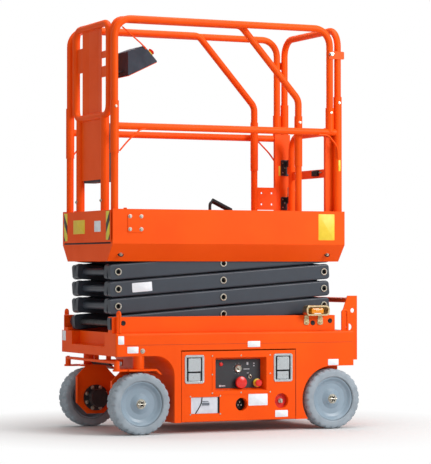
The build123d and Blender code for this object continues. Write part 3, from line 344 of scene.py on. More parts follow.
bm = bmesh.new()
for side, y in (("near", -chassis_face), ("far", chassis_face)):
    bolt_head(bm, place(side, -0.5305, y, 0.411), 0.013)
piece("chassis_bolts", bm, [zinc_plate], "chassis")


def sticker(bm, side, at, x0, x1, z0, z1, index=0):
    """A round-cornered film 0.5 mm proud of the face it is stuck to; x runs along the face."""
    middle, level = (x0 + x1) / 2, (z0 + z1) / 2
    where = place(side, middle, at, level) if side in ("near", "far") else place(side, at, middle, level)
    corner = min(0.003, (z1 - z0) / 3, (x1 - x0) / 3)
    film = [(0, 0), (0, 0.0004), (corner / 8, 0.0006)]
    pressed_form(bm, where, rounded(x1 - x0, z1 - z0, corner), film, index)


sticker_table = [
    ("near", -chassis_face, -0.6115, -0.5525, 0.401, 0.433),
    ("near", -chassis_face, 0.0405, 0.1095, 0.422, 0.452),
    ("near", -chassis_face, 0.4945, 0.5545, 0.323, 0.354),
    ("near", -bumper_face, -0.666, -0.635, 0.445, 0.486),
    ("far", bumper_face, -0.666, -0.635, 0.445, 0.486),
    ("front", -0.677, 0.312, 0.362, 0.445, 0.496),
    ("far", chassis_face, 0.4945, 0.5545, 0.323, 0.354),
]
bm = bmesh.new()
for side, at, x0, x1, z0, z1 in sticker_table:
    sticker(bm, side, at, x0, x1, z0, z1)
piece("chassis_stickers", bm, [white_vinyl], "chassis")

# Painted shade of the seams: a fine dull line, darker than the sheet, along both sides of the chassis, standing
# in for the shadow in each seam's groove
seam_shade_orange = surface("seam_shade_dark_orange", "#9C2E05", "#8A2804", 0.0, 0.6, 0.05, 60, 3, 0.05, IOR=1.5)
bm = bmesh.new()
for side, y in (("near", -0.3599), ("far", 0.3599)):
    for x0, x1, z0, z1 in ((-0.625, 0.636, 0.4398, 0.4412), (0.3100, 0.3116, 0.072, 0.412)):
        sticker(bm, side, y, x0, x1, z0, z1)
piece("chassis_seam_shade", bm, [seam_shade_orange], "chassis")


# Wheels: solid non-marking rubber moulded on a pressed steel rim. The tread has staggered shoulder notches and
# a zigzag middle groove; the rim is spray painted grey-blue and held by a castle nut and a split pin.
# Non-marking rubber: pale grey, chalky, with faint dusty patches and no shine
grey_rubber = surface(
    "moulded_nonmarking_rubber", "#97A2AB", "#8A959E", 0.0, 0.72, 0.08, 60, 1.5, 0.22, IOR=1.5
)
# Wet sprayed enamel on a pressed disc: smooth grey-blue with a low satin sheen
rim_enamel = surface("sprayed_enamel_grey_blue", "#8FA1AF", "#8698A6", 0.0, 0.36, 0.05, 80, 4, 0.05, IOR=1.5)

wheel_radius = 0.1525
rim_radius = 0.112
tyre_half = 0.0475
wheel_y = 0.3325
front_axle_x = -0.541
rear_axle_x = 0.5155
wheel_table = [
    ("front_near", front_axle_x, -1), ("front_far", front_axle_x, 1),
    ("rear_near", rear_axle_x, -1), ("rear_far", rear_axle_x, 1),
]
hub_face = 0.366
lug_count = 26
lug_steps = 10
groove_depth = 0.0034


def tread_depth(turn, across):
    """Groove depth at a turn (in lug pitches) and a place across the tread from -1 to 1."""
    phase = (turn + (0.5 if across > 0 else 0.0)) % 1.0
    zigzag = abs((turn % 1.0) - 0.5) * 2 - 0.5
    if abs(across) > 0.38 and phase < 0.30:
        return groove_depth * min(1.0, (abs(across) - 0.38) / 0.12)
    if abs(across - 0.30 * zigzag) < 0.075:
        return groove_depth * 0.8
    return 0.0


def tyre(name, x, side):
    """Lathed wall and bead with the moulded tread."""
    bm = bmesh.new()
    columns = 26
    steps = lug_count * lug_steps
    half = tyre_half - 0.0065
    section = [(rim_radius - 0.001, -tyre_half + 0.006), (rim_radius + 0.004, -tyre_half + 0.001)]
    section += [(rim_radius + 0.016, -tyre_half), (wheel_radius - 0.012, -tyre_half + 0.0006)]
    rings = []
    for row in range(len(section) * 2 + columns + 1):
        ring = []
        for k in range(steps):
            a = 2 * math.pi * k / steps
            if row < len(section):
                radius, height = section[row]
            elif row > len(section) + columns:
                radius, height = section[len(section) * 2 + columns - row]
                height = -height
            else:
                across = -1 + 2 * (row - len(section)) / columns
                height = across * half
                crown = 0.0016 * across * across
                edge = max(0.0, abs(across) - 0.9) / 0.1
                radius = wheel_radius - crown - 0.0055 * edge * edge - tread_depth(k / lug_steps, across)
                height += math.copysign(0.0035 * edge, across)
            y, z = side * wheel_y + height, wheel_radius + radius * math.sin(a)
            ring.append(bm.verts.new((x + radius * math.cos(a), y, z)))
        rings.append(ring)
    for low, high in zip(rings, rings[1:]):
        for k in range(steps):
            n = (k + 1) % steps
            bm.faces.new((low[k], low[n], high[n], high[k]))
    return piece("tyre_" + name + "_tread", bm, [grey_rubber], "wheel_" + name, 40)


for name, x, side in wheel_table:
    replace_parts(tyre(name, x, side), "tyre_" + name)
    dress(rim_enamel, "rim_" + name)
    bm = bmesh.new()
    face = place("near" if side < 0 else "far", x, side * hub_face, wheel_radius)
    turned_form(bm, face, [(0.0240, 0), (0.0240, 0.0022), (0.012, 0.0024)], 28)
    turned_form(bm, face, [(0.0190, 0.002), (0.0190, 0.008), (0.0170, 0.010), (0.0155, 0.010)], 6)
    collar = [(0.0150, 0.002), (0.0150, 0.0125), (0.0105, 0.0125), (0.0105, 0.008), (0, 0.008)]
    turned_form(bm, face, collar, 18, 1)
    for k in range(6):
        turn = Matrix.Rotation(math.radians(60 * k + 30), 4, "Z")
        tooth = face @ turn @ Matrix.Translation((0.0128, 0, 0.009))
        pressed_form(bm, tooth, rounded(0.006, 0.008, 0.0008), [(0, 0), (0, 0.0035), (0.0006, 0.0040)])
    pin = face @ Matrix.Translation((-0.021, 0, 0.0118)) @ Matrix.Rotation(math.radians(90), 4, "Y")
    turned_form(bm, pin, [(0.0018, 0), (0.0018, 0.042), (0, 0.0425)], 8)
    piece("axle_nut_" + name, bm, [zinc_plate, black_moulding], "wheel_" + name)


# Steering gear: flame-cut and bent plate knuckles in the machine's orange, hydraulic wheel motors with a ring
# of zinc bolts, and a chromed steering rod.
# Hard chrome on a ground rod: a clear mirror with slight drawn lines
hard_chrome = surface("hard_chromed_ground_rod", "#C8CACC", "#BFC2C4", 1.0, 0.14, 0.03, 30, 1.5, 0.04)
# Cast iron under thin black paint: rough, dark, slightly oily
cast_iron = surface("black_painted_cast_iron", "#26282B", "#1D1F22", 0.0, 0.46, 0.12, 22, 2.5, 0.5, IOR=1.5)

dress(powder_orange, "knuckle_near", "knuckle_far", "tie_bar")
soften(1.5, "knuckle_near", "knuckle_far", "tie_bar")
dress(cast_iron, "drive_motor_near", "drive_motor_far", "steering_cylinder")
dress(cast_iron, "lift_cylinder", "hydraulic_unit")
dress(hard_chrome, "steering_rod", "lift_rod")
for name, side in (("near", -1), ("far", 1)):
    bm = bmesh.new()
    inner = place("far" if side < 0 else "near", front_axle_x, side * 0.228, wheel_radius)
    for k in range(8):
        a = math.radians(22.5 + 45 * k)
        bolt_head(bm, inner @ Matrix.Translation((0.056 * math.cos(a), 0.056 * math.sin(a), 0)), 0.011)
    piece("motor_bolts_" + name, bm, [zinc_plate], "knuckle_" + name)


# Slide-out trays: 4 mm folded doors in orange powder coat, with pressed stainless paddle latches riveted on.
# Stainless pressing with a brushed face: bright, pale, drawn lines along the length
brushed_stainless = surface("pressed_stainless_brushed", "#C9CFD2", "#BFC6CA", 1.0, 0.32, 0.06, 14, 1.5, 0.08)

dress(powder_orange, "battery_tray", "hydraulic_tray")
dress(black_moulding, "battery_pack")
soften(1.5, "battery_tray", "hydraulic_tray")
latch_edges = (-0.3055, 0.1845)
latch_middle_z = 0.3165
latch_half_width = 0.0535
pan_profile = [(0, 0), (0.0012, 0.0028), (0.0105, 0.0030), (0.0125, 0.0014), (0.0135, -0.0155)]
for body, side, y in (("hydraulic_tray", "near", -chassis_face), ("battery_tray", "far", chassis_face)):
    bm = bmesh.new()
    for x in latch_edges:
        face = place(side, x + latch_half_width, y, latch_middle_z)
        pressed_form(bm, face, rounded(0.107, 0.143, 0.012), pan_profile)
        paddle = face @ Matrix.Translation((0.0015, 0.022, -0.015))
        pressed_form(bm, paddle, rounded(0.069, 0.066, 0.004), [(0, 0), (0, 0.0142), (0.0015, 0.0156)])
        lower = face @ Matrix.Translation((0.003, -0.038, -0.015))
        pressed_form(bm, lower, rounded(0.066, 0.040, 0.003), [(0, 0), (0, 0.0074), (0.0012, 0.0092)])
        # A black film over the floor of each latch pan: painted shade in the recess round the paddle
        pan_floor_shade = face @ Matrix.Translation((0, 0, -0.0152))
        pressed_form(bm, pan_floor_shade, rounded(0.079, 0.115, 0.004), [(0, 0), (0.0004, 0.0006)], 1)
        for sx in (-0.046, 0.046):
            for sz in (-0.064, 0.064):
                rivet = face @ Matrix.Translation((sx, sz, 0.0028))
                turned_form(bm, rivet, [(0.0042, 0), (0.0036, 0.0014), (0, 0.002)], 12)
    latches = piece(body + "_paddles", bm, [brushed_stainless, black_moulding], body)
    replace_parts(latches, body + "_latches")

bm = bmesh.new()
sticker(bm, "near", -chassis_face, 0.044, 0.1505, 0.129, 0.188)
sticker(bm, "near", -chassis_face, 0.1935, 0.265, 0.068, 0.102)
piece("hydraulic_tray_stickers", bm, [white_vinyl], "hydraulic_tray")


def eased(points, bend, steps=6):
    """Points of a path whose corners are rounded."""
    points = [Vector(p) for p in points]
    path = [points[0]]
    for before, here, after in zip(points, points[1:], points[2:]):
        cut = min(bend, (here - before).length * 0.49, (after - here).length * 0.49)
        start, end = here + (before - here).normalized() * cut, here + (after - here).normalized() * cut
        for k in range(steps + 1):
            t = k / steps
            path.append(start * (1 - t) ** 2 + here * 2 * t * (1 - t) + end * t * t)
    return path + [points[-1]]


def run(bm, path, radius, index=0, steps=10):
    """A round rod, wire or hose along a path, closed at both ends."""
    rings = []
    across = None
    for k, here in enumerate(path):
        along = (path[min(k + 1, len(path) - 1)] - path[max(k - 1, 0)]).normalized()
        if across is None:
            across = along.orthogonal().normalized()
        across = (across - along * across.dot(along)).normalized()
        other = along.cross(across)
        ring = []
        for n in range(steps):
            a = 2 * math.pi * n / steps
            ring.append(bm.verts.new(here + (across * math.cos(a) + other * math.sin(a)) * radius))
        rings.append(ring)
    for low, high in zip(rings, rings[1:]):
        for n in range(steps):
            m = (n + 1) % steps
            bm.faces.new((low[n], low[m], high[m], high[n])).material_index = index
    bm.faces.new(rings[0]).material_index = index
    bm.faces.new(rings[-1]).material_index = index


# The round socket with its black charger inlet, the red switch recess with its silver knob, and the window
# over the white oil tank with a hose across it
# Sprayed enamel in the switch recess: strong red with a low sheen
red_paint = surface("sprayed_enamel_red", "#D8281C", "#CE2218", 0.0, 0.4, 0.05, 40, 3, 0.05, IOR=1.5)
# Rotomoulded polyethylene tank: milky cool white, a little uneven
tank_white = surface("rotomoulded_tank_white", "#D4D9E2", "#C6CCD6", 0.0, 0.45, 0.05, 30, 2, 0.08, IOR=1.5)
# Moulded nylon fittings on the tank: flat mid grey
tray_grey = surface("moulded_grey_nylon", "#6C727C", "#626873", 0.0, 0.5, 0.05, 20, 2, 0.08, IOR=1.5)

bm = bmesh.new()
inlet = place("near", 0.0065, -0.3200, 0.137)
inlet_profile = [
    (0.0325, 0), (0.0325, 0.002), (0.027, 0.003), (0.026, 0.016), (0.022, 0.017), (0.021, 0.006), (0, 0.006),
]
turned_form(bm, inlet, inlet_profile, 28)
for k in range(3):
    a = math.radians(90 + 120 * k)
    prong = inlet @ Matrix.Translation((0.010 * math.cos(a), 0.010 * math.sin(a), 0.006))
    pressed_form(bm, prong, rounded(0.004, 0.008, 0.0012), [(0, 0), (0.0004, 0.010)], 1)
switch = place("near", 0.2295, -0.3350, 0.149)
turned_form(bm, switch, [(0.0375, 0), (0.0375, 0.0015), (0.022, 0.002), (0.020, 0.006), (0, 0.006)], 32, 2)
turned_form(bm, switch, [(0.013, 0.005), (0.013, 0.014), (0.0105, 0.016), (0, 0.016)], 24, 1)
knob = switch @ Matrix.Rotation(math.radians(20), 4, "Z")
pressed_form(bm, knob, rounded(0.008, 0.024, 0.003), [(0, 0.014), (0.0006, 0.023)], 1)
window_x, window_z = -0.1925, 0.137
window = place("near", window_x, -0.3545, window_z)
pressed_form(bm, window, rounded(0.155, 0.081, 0.002), [(0, 0), (0, 0.0006)], 3)
# Tank fittings: place in the window, width, height, corner, inset and height of the front, finish. The first
# row is no fitting but a black strip down the window's right edge: painted shade of the window's side
for x, z, width, height, corner, inset, front, index in (
    (0.073, 0, 0.008, 0.080, 0.001, 0.0004, 0.0030, 0),
    (0.004, 0.006, 0.040, 0.014, 0.002, 0.001, 0.0035, 4),
    (0.002, 0.019, 0.034, 0.004, 0.001, 0.0004, 0.0025, 4),
):
    fitting = window @ Matrix.Translation((x, z, 0))
    pressed_form(bm, fitting, rounded(width, height, corner), [(0, 0.0004), (inset, front)], index)
hose = [(-0.052, -0.040, 0.002), (-0.036, -0.016, 0.003), (-0.020, 0.010, 0.003), (-0.016, 0.040, 0.002)]
run(bm, [window @ p for p in eased(hose, 0.02)], 0.0022)
for sx in (-0.0815, 0.0815):
    for sz in (-0.0445, 0.0445):
        rivet = place("near", window_x + sx, -chassis_face, window_z + sz)
        turned_form(bm, rivet, [(0.0045, 0), (0.0036, 0.0016), (0, 0.0022)], 12, 1)
port_finishes = [black_moulding, zinc_plate, red_paint, tank_white, tray_grey]
piece("hydraulic_tray_ports", bm, port_finishes, "hydraulic_tray")


# Ground controls: a black anodised panel in an orange bevelled frame, with a key switch, a mushroom stop
# button, a collared button, a toggle and a lamp, all standard 22 mm panel fittings.
# Anodised aluminium panel: even charcoal with a fine satin
charcoal_panel = surface(
    "anodised_aluminium_charcoal", "#2B2E33", "#26292E", 0.0, 0.42, 0.05, 30, 1.2, 0.10, IOR=1.5
)
# Moulded nylon button, glossy red
red_button = surface("moulded_nylon_red", "#E02A22", "#D6241E", 0.0, 0.24, 0.03, 20, 3, 0.03, IOR=1.5)
# Moulded nylon collar, glossy yellow
yellow_nylon = surface("moulded_nylon_yellow", "#E9C62B", "#E2BC22", 0.0, 0.30, 0.03, 20, 3, 0.03, IOR=1.5)
# Screen-printed ink on the panel: small dull pale marks
print_grey = surface("screen_print_grey", "#B9BEC4", "#ADB2B8", 0.0, 0.5, 0.04, 10, 1, 0.02, IOR=1.5)

bm = bmesh.new()
panel_x, panel_z = 0.00275, 0.2885
panel_face = 0.3140
panel = place("near", panel_x, -0.3120, panel_z)
pressed_form(bm, panel, rounded(0.2605, 0.145, 0.003), [(0, 0), (0, 0.0014), (0.0006, 0.0020)])
for sx in (-0.158, 0, 0.162):
    for sz in (-0.0925, 0, 0.0925):
        if sx or sz:
            rivet = place("near", panel_x + sx, -0.362, panel_z + sz)
            turned_form(bm, rivet, [(0.0042, 0), (0.0036, 0.0012), (0, 0.0018)], 10, 1)
key = place("near", 0.0080, -panel_face, 0.3135)
turned_form(bm, key, [(0.019, 0), (0.019, 0.006), (0.016, 0.009), (0.012, 0.007), (0, 0.007)], 24, 1)
key_bow = key @ Matrix.Rotation(math.radians(35), 4, "Z")
pressed_form(bm, key_bow, rounded(0.004, 0.016, 0.001), [(0, 0.007), (0.0004, 0.014)], 1)
stop = place("near", 0.0157, -panel_face, 0.2445)
mushroom = [
    (0.016, 0), (0.016, 0.016), (0.028, 0.018), (0.031, 0.022), (0.0285, 0.029), (0.018, 0.033), (0, 0.034),
]
turned_form(bm, stop, mushroom, 32, 2)
collar = place("near", 0.1105, -panel_face, 0.2405)
turned_form(bm, collar, [(0.020, 0), (0.0215, 0.008), (0.0215, 0.012), (0.019, 0.013), (0.012, 0.013)], 28, 3)
small_mushroom = [(0.011, 0.010), (0.011, 0.022), (0.017, 0.024), (0.018, 0.029), (0.014, 0.033), (0, 0.034)]
turned_form(bm, collar, small_mushroom, 28, 2)
lamp_cap = place("near", -0.0860, -panel_face, 0.3370)
turned_form(bm, lamp_cap, [(0.010, 0), (0.010, 0.003), (0.008, 0.006), (0, 0.008)], 20, 2)
toggle = place("near", 0.0740, -panel_face, 0.2715)
turned_form(bm, toggle, [(0.010, 0), (0.010, 0.003), (0.005, 0.005)], 16, 1)
lever = toggle @ Matrix.Rotation(math.radians(-35), 4, "X") @ Matrix.Rotation(math.radians(-20), 4, "Y")
turned_form(bm, lever, [(0.002, 0), (0.003, 0.017), (0.0034, 0.021), (0, 0.023)], 12, 1)
ink = [(0, 0), (0.0002, 0.0003)]
for dx, dz, width, height in (
    (0.052, 0.022, 0.034, 0.004), (0.058, 0.050, 0.010, 0.014), (0.094, 0.050, 0.007, 0.006),
    (0.094, 0.038, 0.007, 0.006), (-0.094, -0.060, 0.012, 0.010), (-0.076, -0.060, 0.022, 0.006),
    (0.060, 0.002, 0.012, 0.003),
):
    pressed_form(bm, panel @ Matrix.Translation((dx, dz, 0.002)), rounded(width, height, 0.001), ink, 4)
for k in range(7):
    a = math.radians(40 + 40 * k)
    tick = panel @ Matrix.Translation((0.005 + 0.026 * math.cos(a), 0.025 + 0.026 * math.sin(a), 0.002))
    pressed_form(bm, tick @ Matrix.Rotation(a, 4, "Z"), rounded(0.005, 0.0012, 0.0004), ink, 4)
panel_finishes = [charcoal_panel, zinc_plate, red_button, yellow_nylon, print_grey]
controls = piece("ground_control_panel", bm, panel_finishes, "hydraulic_tray")
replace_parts(controls, "ground_controls")


# Beacon: an amber polycarbonate lens inside a pressed steel hood with zinc plate and yellow passivation. The
# hood stands on two feet that are bolted to the near side beam.
# Clear amber polycarbonate: deep orange glow with a sharp gloss
amber_dome = surface(
    "moulded_amber_polycarbonate", "#F09A1E", "#E88A12", 0.0, 0.16, 0.02, 30, 4, 0.03, IOR=1.58
)
# Zinc plate with yellow passivation: a brassy, slightly iridescent grey, with a darker second tone of painted
# shade laid in random patches
yellow_zinc = surface("zinc_plated_yellow_passivated", "#DCC9A2", "#B09A6E", 1.0, 0.38, 0.08, 12, 0.8, 0.12)

beacon_x = 0.4300
hood_back = beam_face + 0.0005
hood_levels = [(0, 0), (0, 0.0455), (0.0015, 0.0475), (0.0085, 0.0475), (0.010, 0.0455), (0.010, 0.004)]
bm = bmesh.new()
hood = place("near", beacon_x, -hood_back, 0.6020)
pressed_form(bm, hood, rounded(0.132, 0.054, 0.020, 6), hood_levels)
for x, half in ((0.3855, 0.0155), (0.4640, 0.0165)):
    top, ankle, toe, sole = 0.024, -0.016, half * 0.6, -0.025
    leg = [(half * 0.7, top), (-half * 0.7, top), (-half, ankle), (-toe, sole), (toe, sole), (half, ankle)]
    pressed_form(bm, place("near", x, -beam_face, 0.5540), leg, [(0, 0), (0, 0.0034), (0.0008, 0.0042)])
    bolt_head(bm, place("near", x, -0.3342, 0.5385), 0.0105)
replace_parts(piece("beacon_hood", bm, [yellow_zinc], "chassis"), "beacon_guard")
bm = bmesh.new()
lens = place("near", beacon_x, -0.3345, 0.6000)
pressed_form(bm, lens, rounded(0.070, 0.030, 0.008), [(0, 0), (0, 0.030), (0.002, 0.036), (0.006, 0.038)])
for k in range(5):
    rib = lens @ Matrix.Translation((-0.024 + 0.012 * k, 0.001, 0))
    pressed_form(bm, rib, rounded(0.0025, 0.018, 0.001), [(0, 0.0375), (0.0004, 0.0390)])
label = lens @ Matrix.Translation((-0.002, -0.0135, 0))
pressed_form(bm, label, rounded(0.036, 0.005, 0.001), [(0, 0.036), (0.0004, 0.0395)], 1)
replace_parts(piece("beacon_lamp", bm, [amber_dome, white_vinyl], "chassis"), "beacon")


# Scissor stack: rectangular steel tube arms painted slate grey, joined by hollow pins whose bright machined
# ends stand a little proud and are held by snap rings.
# Wet paint over tube: slate grey satin, slightly uneven, catching light along the round edges
slate_paint = surface(
    "sprayed_enamel_slate", "#3D444D", "#363C45", 0.0, 0.36, 0.06, 180, 3, 0.07,
    **{"IOR": 1.5, "Specular IOR Level": 0.35},
)
arm_nodes = [kind + "_arms_" + str(level) for kind in ("inner", "outer") for level in (1, 2, 3, 4)]
dress(slate_paint, *arm_nodes)

arm_length = 1.1447
stowed = math.radians(4.27)
first_pin = (0.522, 0.544)
pitch = arm_length * math.sin(stowed)
spread = arm_length * math.cos(stowed)
arm_face = 0.265
pin_profile = [
    (0.0178, -0.0028), (0.0178, 0.0008), (0.0165, 0.0018), (0.0130, 0.0018), (0.0115, 0.0), (0.0113, -0.02),
]
# One row for each pin: the arms it rides on, its x and its z; the lowest and the topmost end pins are hidden
pin_table = []
for level in range(4):
    arms = "outer_arms_" + str(level + 1)
    low = first_pin[1] + level * pitch
    pin_table.append((arms, first_pin[0] - spread / 2, low + pitch / 2))
    if level:
        pin_table.append((arms, first_pin[0] - spread, low))
    if level < 3:
        pin_table.append((arms, first_pin[0], low + pitch))
for number, (body, x, z) in enumerate(pin_table, 1):
    bm = bmesh.new()
    for side, y in (("near", -arm_face), ("far", arm_face)):
        turned_form(bm, place(side, x, y, z), pin_profile, 28)
    piece("pin_ends_" + str(number), bm, [zinc_plate], body)

# Cross shaft between the lowest rollers, seen in the open front of the trough
bm = bmesh.new()
shaft = place("near", first_pin[0] - spread, 0.2235, first_pin[1])
shaft_profile = [
    (0, 0), (0.017, 0.0), (0.017, 0.014), (0.0155, 0.016),
    (0.0155, 0.431), (0.017, 0.433), (0.017, 0.447), (0, 0.447),
]
turned_form(bm, shaft, shaft_profile, 24)
piece("roller_cross_shaft", bm, [cast_iron], "outer_arms_1")

bm = bmesh.new()
tilt = Matrix.Rotation(-stowed, 4, "Y")
middle = Vector((-0.492, -0.262, first_pin[1] + 2 * pitch + 0.0095))
label = Matrix.Translation(middle) @ tilt @ place("near", 0, 0, 0)
pressed_form(bm, label, rounded(0.107, 0.046, 0.004), [(0, 0), (0, 0.0004), (0.0004, 0.0006)])
piece("arm_sticker", bm, [white_vinyl], "outer_arms_3")


# Platform: a folded steel deck on cross members with sloped skirts, welded and powder coated orange. Folded toe
# boards stand on its edges, each held by four bolts at the front.
dress(powder_orange, "platform_frame", "toe_boards")
soften(1.5, "toe_boards")
toe_board_face = 0.343
pad_thickness = 0.003
cap_profile = [(0.009, 0), (0.009, 0.004), (0.006, 0.006), (0, 0.006)]
bm = bmesh.new()
for side, sign in (("near", -1), ("far", 1)):
    for x in (-0.5915, -0.5315):
        for z in (1.0715, 1.008):
            bolt_head(bm, place(side, x, sign * (toe_board_face + pad_thickness), z), 0.0105)
    pad = place(side, -0.5622, sign * toe_board_face, 1.0366)
    pressed_form(bm, pad, rounded(0.082, 0.088, 0.004), [(0, 0), (0, 0.0024), (0.0006, pad_thickness)], 1)
    turned_form(bm, place("top", -0.6136, sign * 0.337, 1.108), cap_profile, 16, 1)
piece("toe_board_bolts", bm, [zinc_plate, powder_orange], "platform")
bm = bmesh.new()
for x, z in ((-0.623, 0.886), (0.519, 0.888)):
    for side, sign in (("near", -1), ("far", 1)):
        lean = Matrix.Rotation(math.radians(-40), 4, "X")
        seat = place(side, x, sign * 0.3005, z) @ lean
        turned_form(bm, seat, [(0.0155, -0.002), (0.0155, 0.0014), (0.0125, 0.0022), (0.009, 0.0012)], 24, 1)
        bolt_head(bm, seat, 0.014)
piece("skirt_bolts", bm, [zinc_plate, black_moulding], "platform")

# A black film under the front board of the extension, on the platform's end plate: painted shadow of the gap
# beneath the board
bm = bmesh.new()
sticker(bm, "front", -0.6825, -0.318, 0.318, 0.9375, 0.9455)
piece("front_gap_shadow", bm, [black_moulding], "platform")

# Printed vinyl, left blank: flat warm sign yellow with a satin face
yellow_vinyl = surface("printed_vinyl_yellow", "#E8C832", "#E2C02A", 0.0, 0.42, 0.04, 30, 2, 0.04, IOR=1.46)
bm = bmesh.new()
sticker(bm, "near", -toe_board_face, 0.449, 0.541, 0.960, 1.093)
piece("toe_board_sign", bm, [yellow_vinyl], "platform")


# Guard rails: 43 mm and 35 mm steel tube, mitred and welded, powder coated; the upper rails drop into sleeves
# and are held by cross bolts.
dress(powder_orange, "lower_rails", "upper_side_rails", "rear_upper_frame", "gate")
# Cross bolts of the six sleeves: x and z of each, the same on both sides
rail_face = 0.3265
bm = bmesh.new()
for x, z in ((-0.657, 1.611), (0.534, 1.615), (0.580, 1.667)):
    for side, y in (("near", -rail_face), ("far", rail_face)):
        bolt_head(bm, place(side, x, y, z), 0.007)
piece("rail_bolts", bm, [zinc_plate], "platform")

# Thin bent rods under the mid rail that keep a hand out of the corner, with their clips
bm = bmesh.new()
rod_y = 0.3275
rod_radius = 0.0042
rod_bend = 0.02
near_rod = [(0.460, 1.500), (0.515, 1.500), (0.568, 1.439), (0.572, 1.381)]
far_rod = [(0.390, 1.503), (0.430, 1.503), (0.500, 1.437), (0.531, 1.396)]
front_rod = [(-0.640, 1.392), (-0.595, 1.443), (-0.532, 1.499), (-0.500, 1.503)]
for y, points in ((-rod_y, near_rod), (rod_y, far_rod), (-rod_y, front_rod), (rod_y, front_rod)):
    run(bm, eased([(x, y, z) for x, z in points], rod_bend), rod_radius)
piece("corner_rods", bm, [powder_orange], "platform")

# Lock plates between the upper frames, with a spring pin each
bm = bmesh.new()
spring_pin = [
    (0.0085, 0), (0.0085, 0.010), (0.006, 0.012), (0.006, 0.020), (0.009, 0.021), (0.009, 0.025), (0, 0.0255),
]
for side, y, pin_x in (("near", -0.3220, -0.036), ("far", 0.3220, 0.036)):
    face = place(side, 0.5635, y, 1.911)
    pressed_form(bm, face, rounded(0.089, 0.040, 0.006), [(0, 0), (0, 0.003), (0.0006, 0.0038)])
    turned_form(bm, face @ Matrix.Translation((pin_x, 0.004, 0.0036)), spring_pin, 18, 1)
piece("rail_lock_plates", bm, [powder_orange, zinc_plate], "platform")


# Gate hardware: cast spring hinges in black paint, whose leaves are riveted to the far post, a zinc-plated coil
# spring on the lower hinge pin, and a moulded latch box screwed to the gate's bar.
dress(cast_iron, "gate_hinges")
hinge_x, hinge_y = 0.580, 0.248
coil_turns, coil_steps = 8, 16
coil_radius, coil_height = 0.0095, 0.042
bm = bmesh.new()
coil = []
for k in range(coil_turns * coil_steps + 1):
    a = 2 * math.pi * k / coil_steps
    z = 1.2055 + coil_height * k / (coil_turns * coil_steps)
    coil.append(Vector((hinge_x + coil_radius * math.cos(a), hinge_y + coil_radius * math.sin(a), z)))
run(bm, coil, 0.0014, 0, 6)
coil_cap = [(0.010, 0), (0.010, 0.004), (0.006, 0.006), (0, 0.006)]
turned_form(bm, place("top", hinge_x, hinge_y, 1.2475), coil_cap, 16)
piece("hinge_spring", bm, [zinc_plate], "platform")
bm = bmesh.new()
for z, height in ((1.3577, 0.085), (1.1664, 0.070)):
    block = place("near", 0.5700, 0.2810, z)
    pressed_form(bm, block, rounded(0.048, height, 0.003), [(0, 0), (0, 0.0045), (0.001, 0.0055)])
    for sx, share in ((-0.014, 0.3), (-0.014, -0.3), (-0.002, 0.0)):
        rivet = block @ Matrix.Translation((sx, share * height, 0.0052))
        turned_form(bm, rivet, [(0.0040, 0), (0.0032, 0.0012), (0, 0.0018)], 12, 1)
piece("hinge_leaves", bm, [cast_iron, zinc_plate], "platform")
bm = bmesh.new()
latch = place("front", 0.5760, -0.0744, 1.3140)
pressed_form(bm, latch, rounded(0.066, 0.030, 0.003), [(0, 0), (0, 0.010), (0.003, 0.013)])
bolt = latch @ Matrix.Translation((0.052, 0.003, 0))
pressed_form(bm, bolt, rounded(0.030, 0.007, 0.002), [(0, 0), (0, 0.005), (0.001, 0.006)], 1)
piece("gate_latch", bm, [black_moulding, zinc_plate], "gate")


# Roll-out extension: sheet deck with its own rails and front board in the same powder coat, black hazard bars,
# a dark document box and the hand-control box.
dress(powder_orange, "extension_deck", "front_panels", "accessory_plate")
dress(cast_iron, "extension_lock_lever")
# Dark textured coat on folded sheet: nearly black with a fine sand grain
dark_coat = surface("textured_powder_coat_black", "#2A2B2F", "#222327", 0.0, 0.55, 0.08, 60, 1.0, 0.5, IOR=1.5)
dress(dark_coat, "document_box")
# The same textured coat in slate grey: matt, cool, with a soft fall of light over the box
grey_coat = surface(
    "textured_powder_coat_grey", "#343A46", "#2F343F", 0.0, 0.55, 0.06, 60, 1.0, 0.3,
    **{"IOR": 1.5, "Specular IOR Level": 0.2},
)
dress(grey_coat, "control_box")
soften(3.0, "document_box", "control_box")


def hazard_film(name, pitch_mm, lean):
    """Retroreflective film in yellow with slanted black bars.

    lean is how far a bar falls for each step along +Y, and pitch_mm is measured straight up.
    """
    made = surface(name, "#E3D63A", "#D9CC30", 0.0, 0.36, 0.04, 30, 2, 0.04, IOR=1.5)
    tree = made.node_tree
    skin = next(n for n in tree.nodes if n.type == "BSDF_PRINCIPLED")
    tone = skin.inputs["Base Color"].links[0].from_socket
    where = add(tree, "TexCoord")
    parts = add(tree, "SeparateXYZ", links={0: where.outputs["Object"]})
    across = add(tree, "Math", {"operation": "MULTIPLY", 1: lean}, {0: parts.outputs["Y"]})
    along = add(tree, "Math", {"operation": "ADD"}, {0: across.outputs[0], 1: parts.outputs["Z"]})
    scaled = add(tree, "Math", {"operation": "MULTIPLY", 1: 1000 / pitch_mm}, {0: along.outputs[0]})
    wrapped = add(tree, "Math", {"operation": "FRACT"}, {0: scaled.outputs[0]})
    bars = add(tree, "Math", {"operation": "GREATER_THAN", 1: 0.58}, {0: wrapped.outputs[0]})
    both = add(tree, "MixRGB", {"Color2": linear("#17181A")}, {"Fac": bars.outputs[0], "Color1": tone})
    tree.links.new(both.outputs["Color"], skin.inputs["Base Color"])
    return made


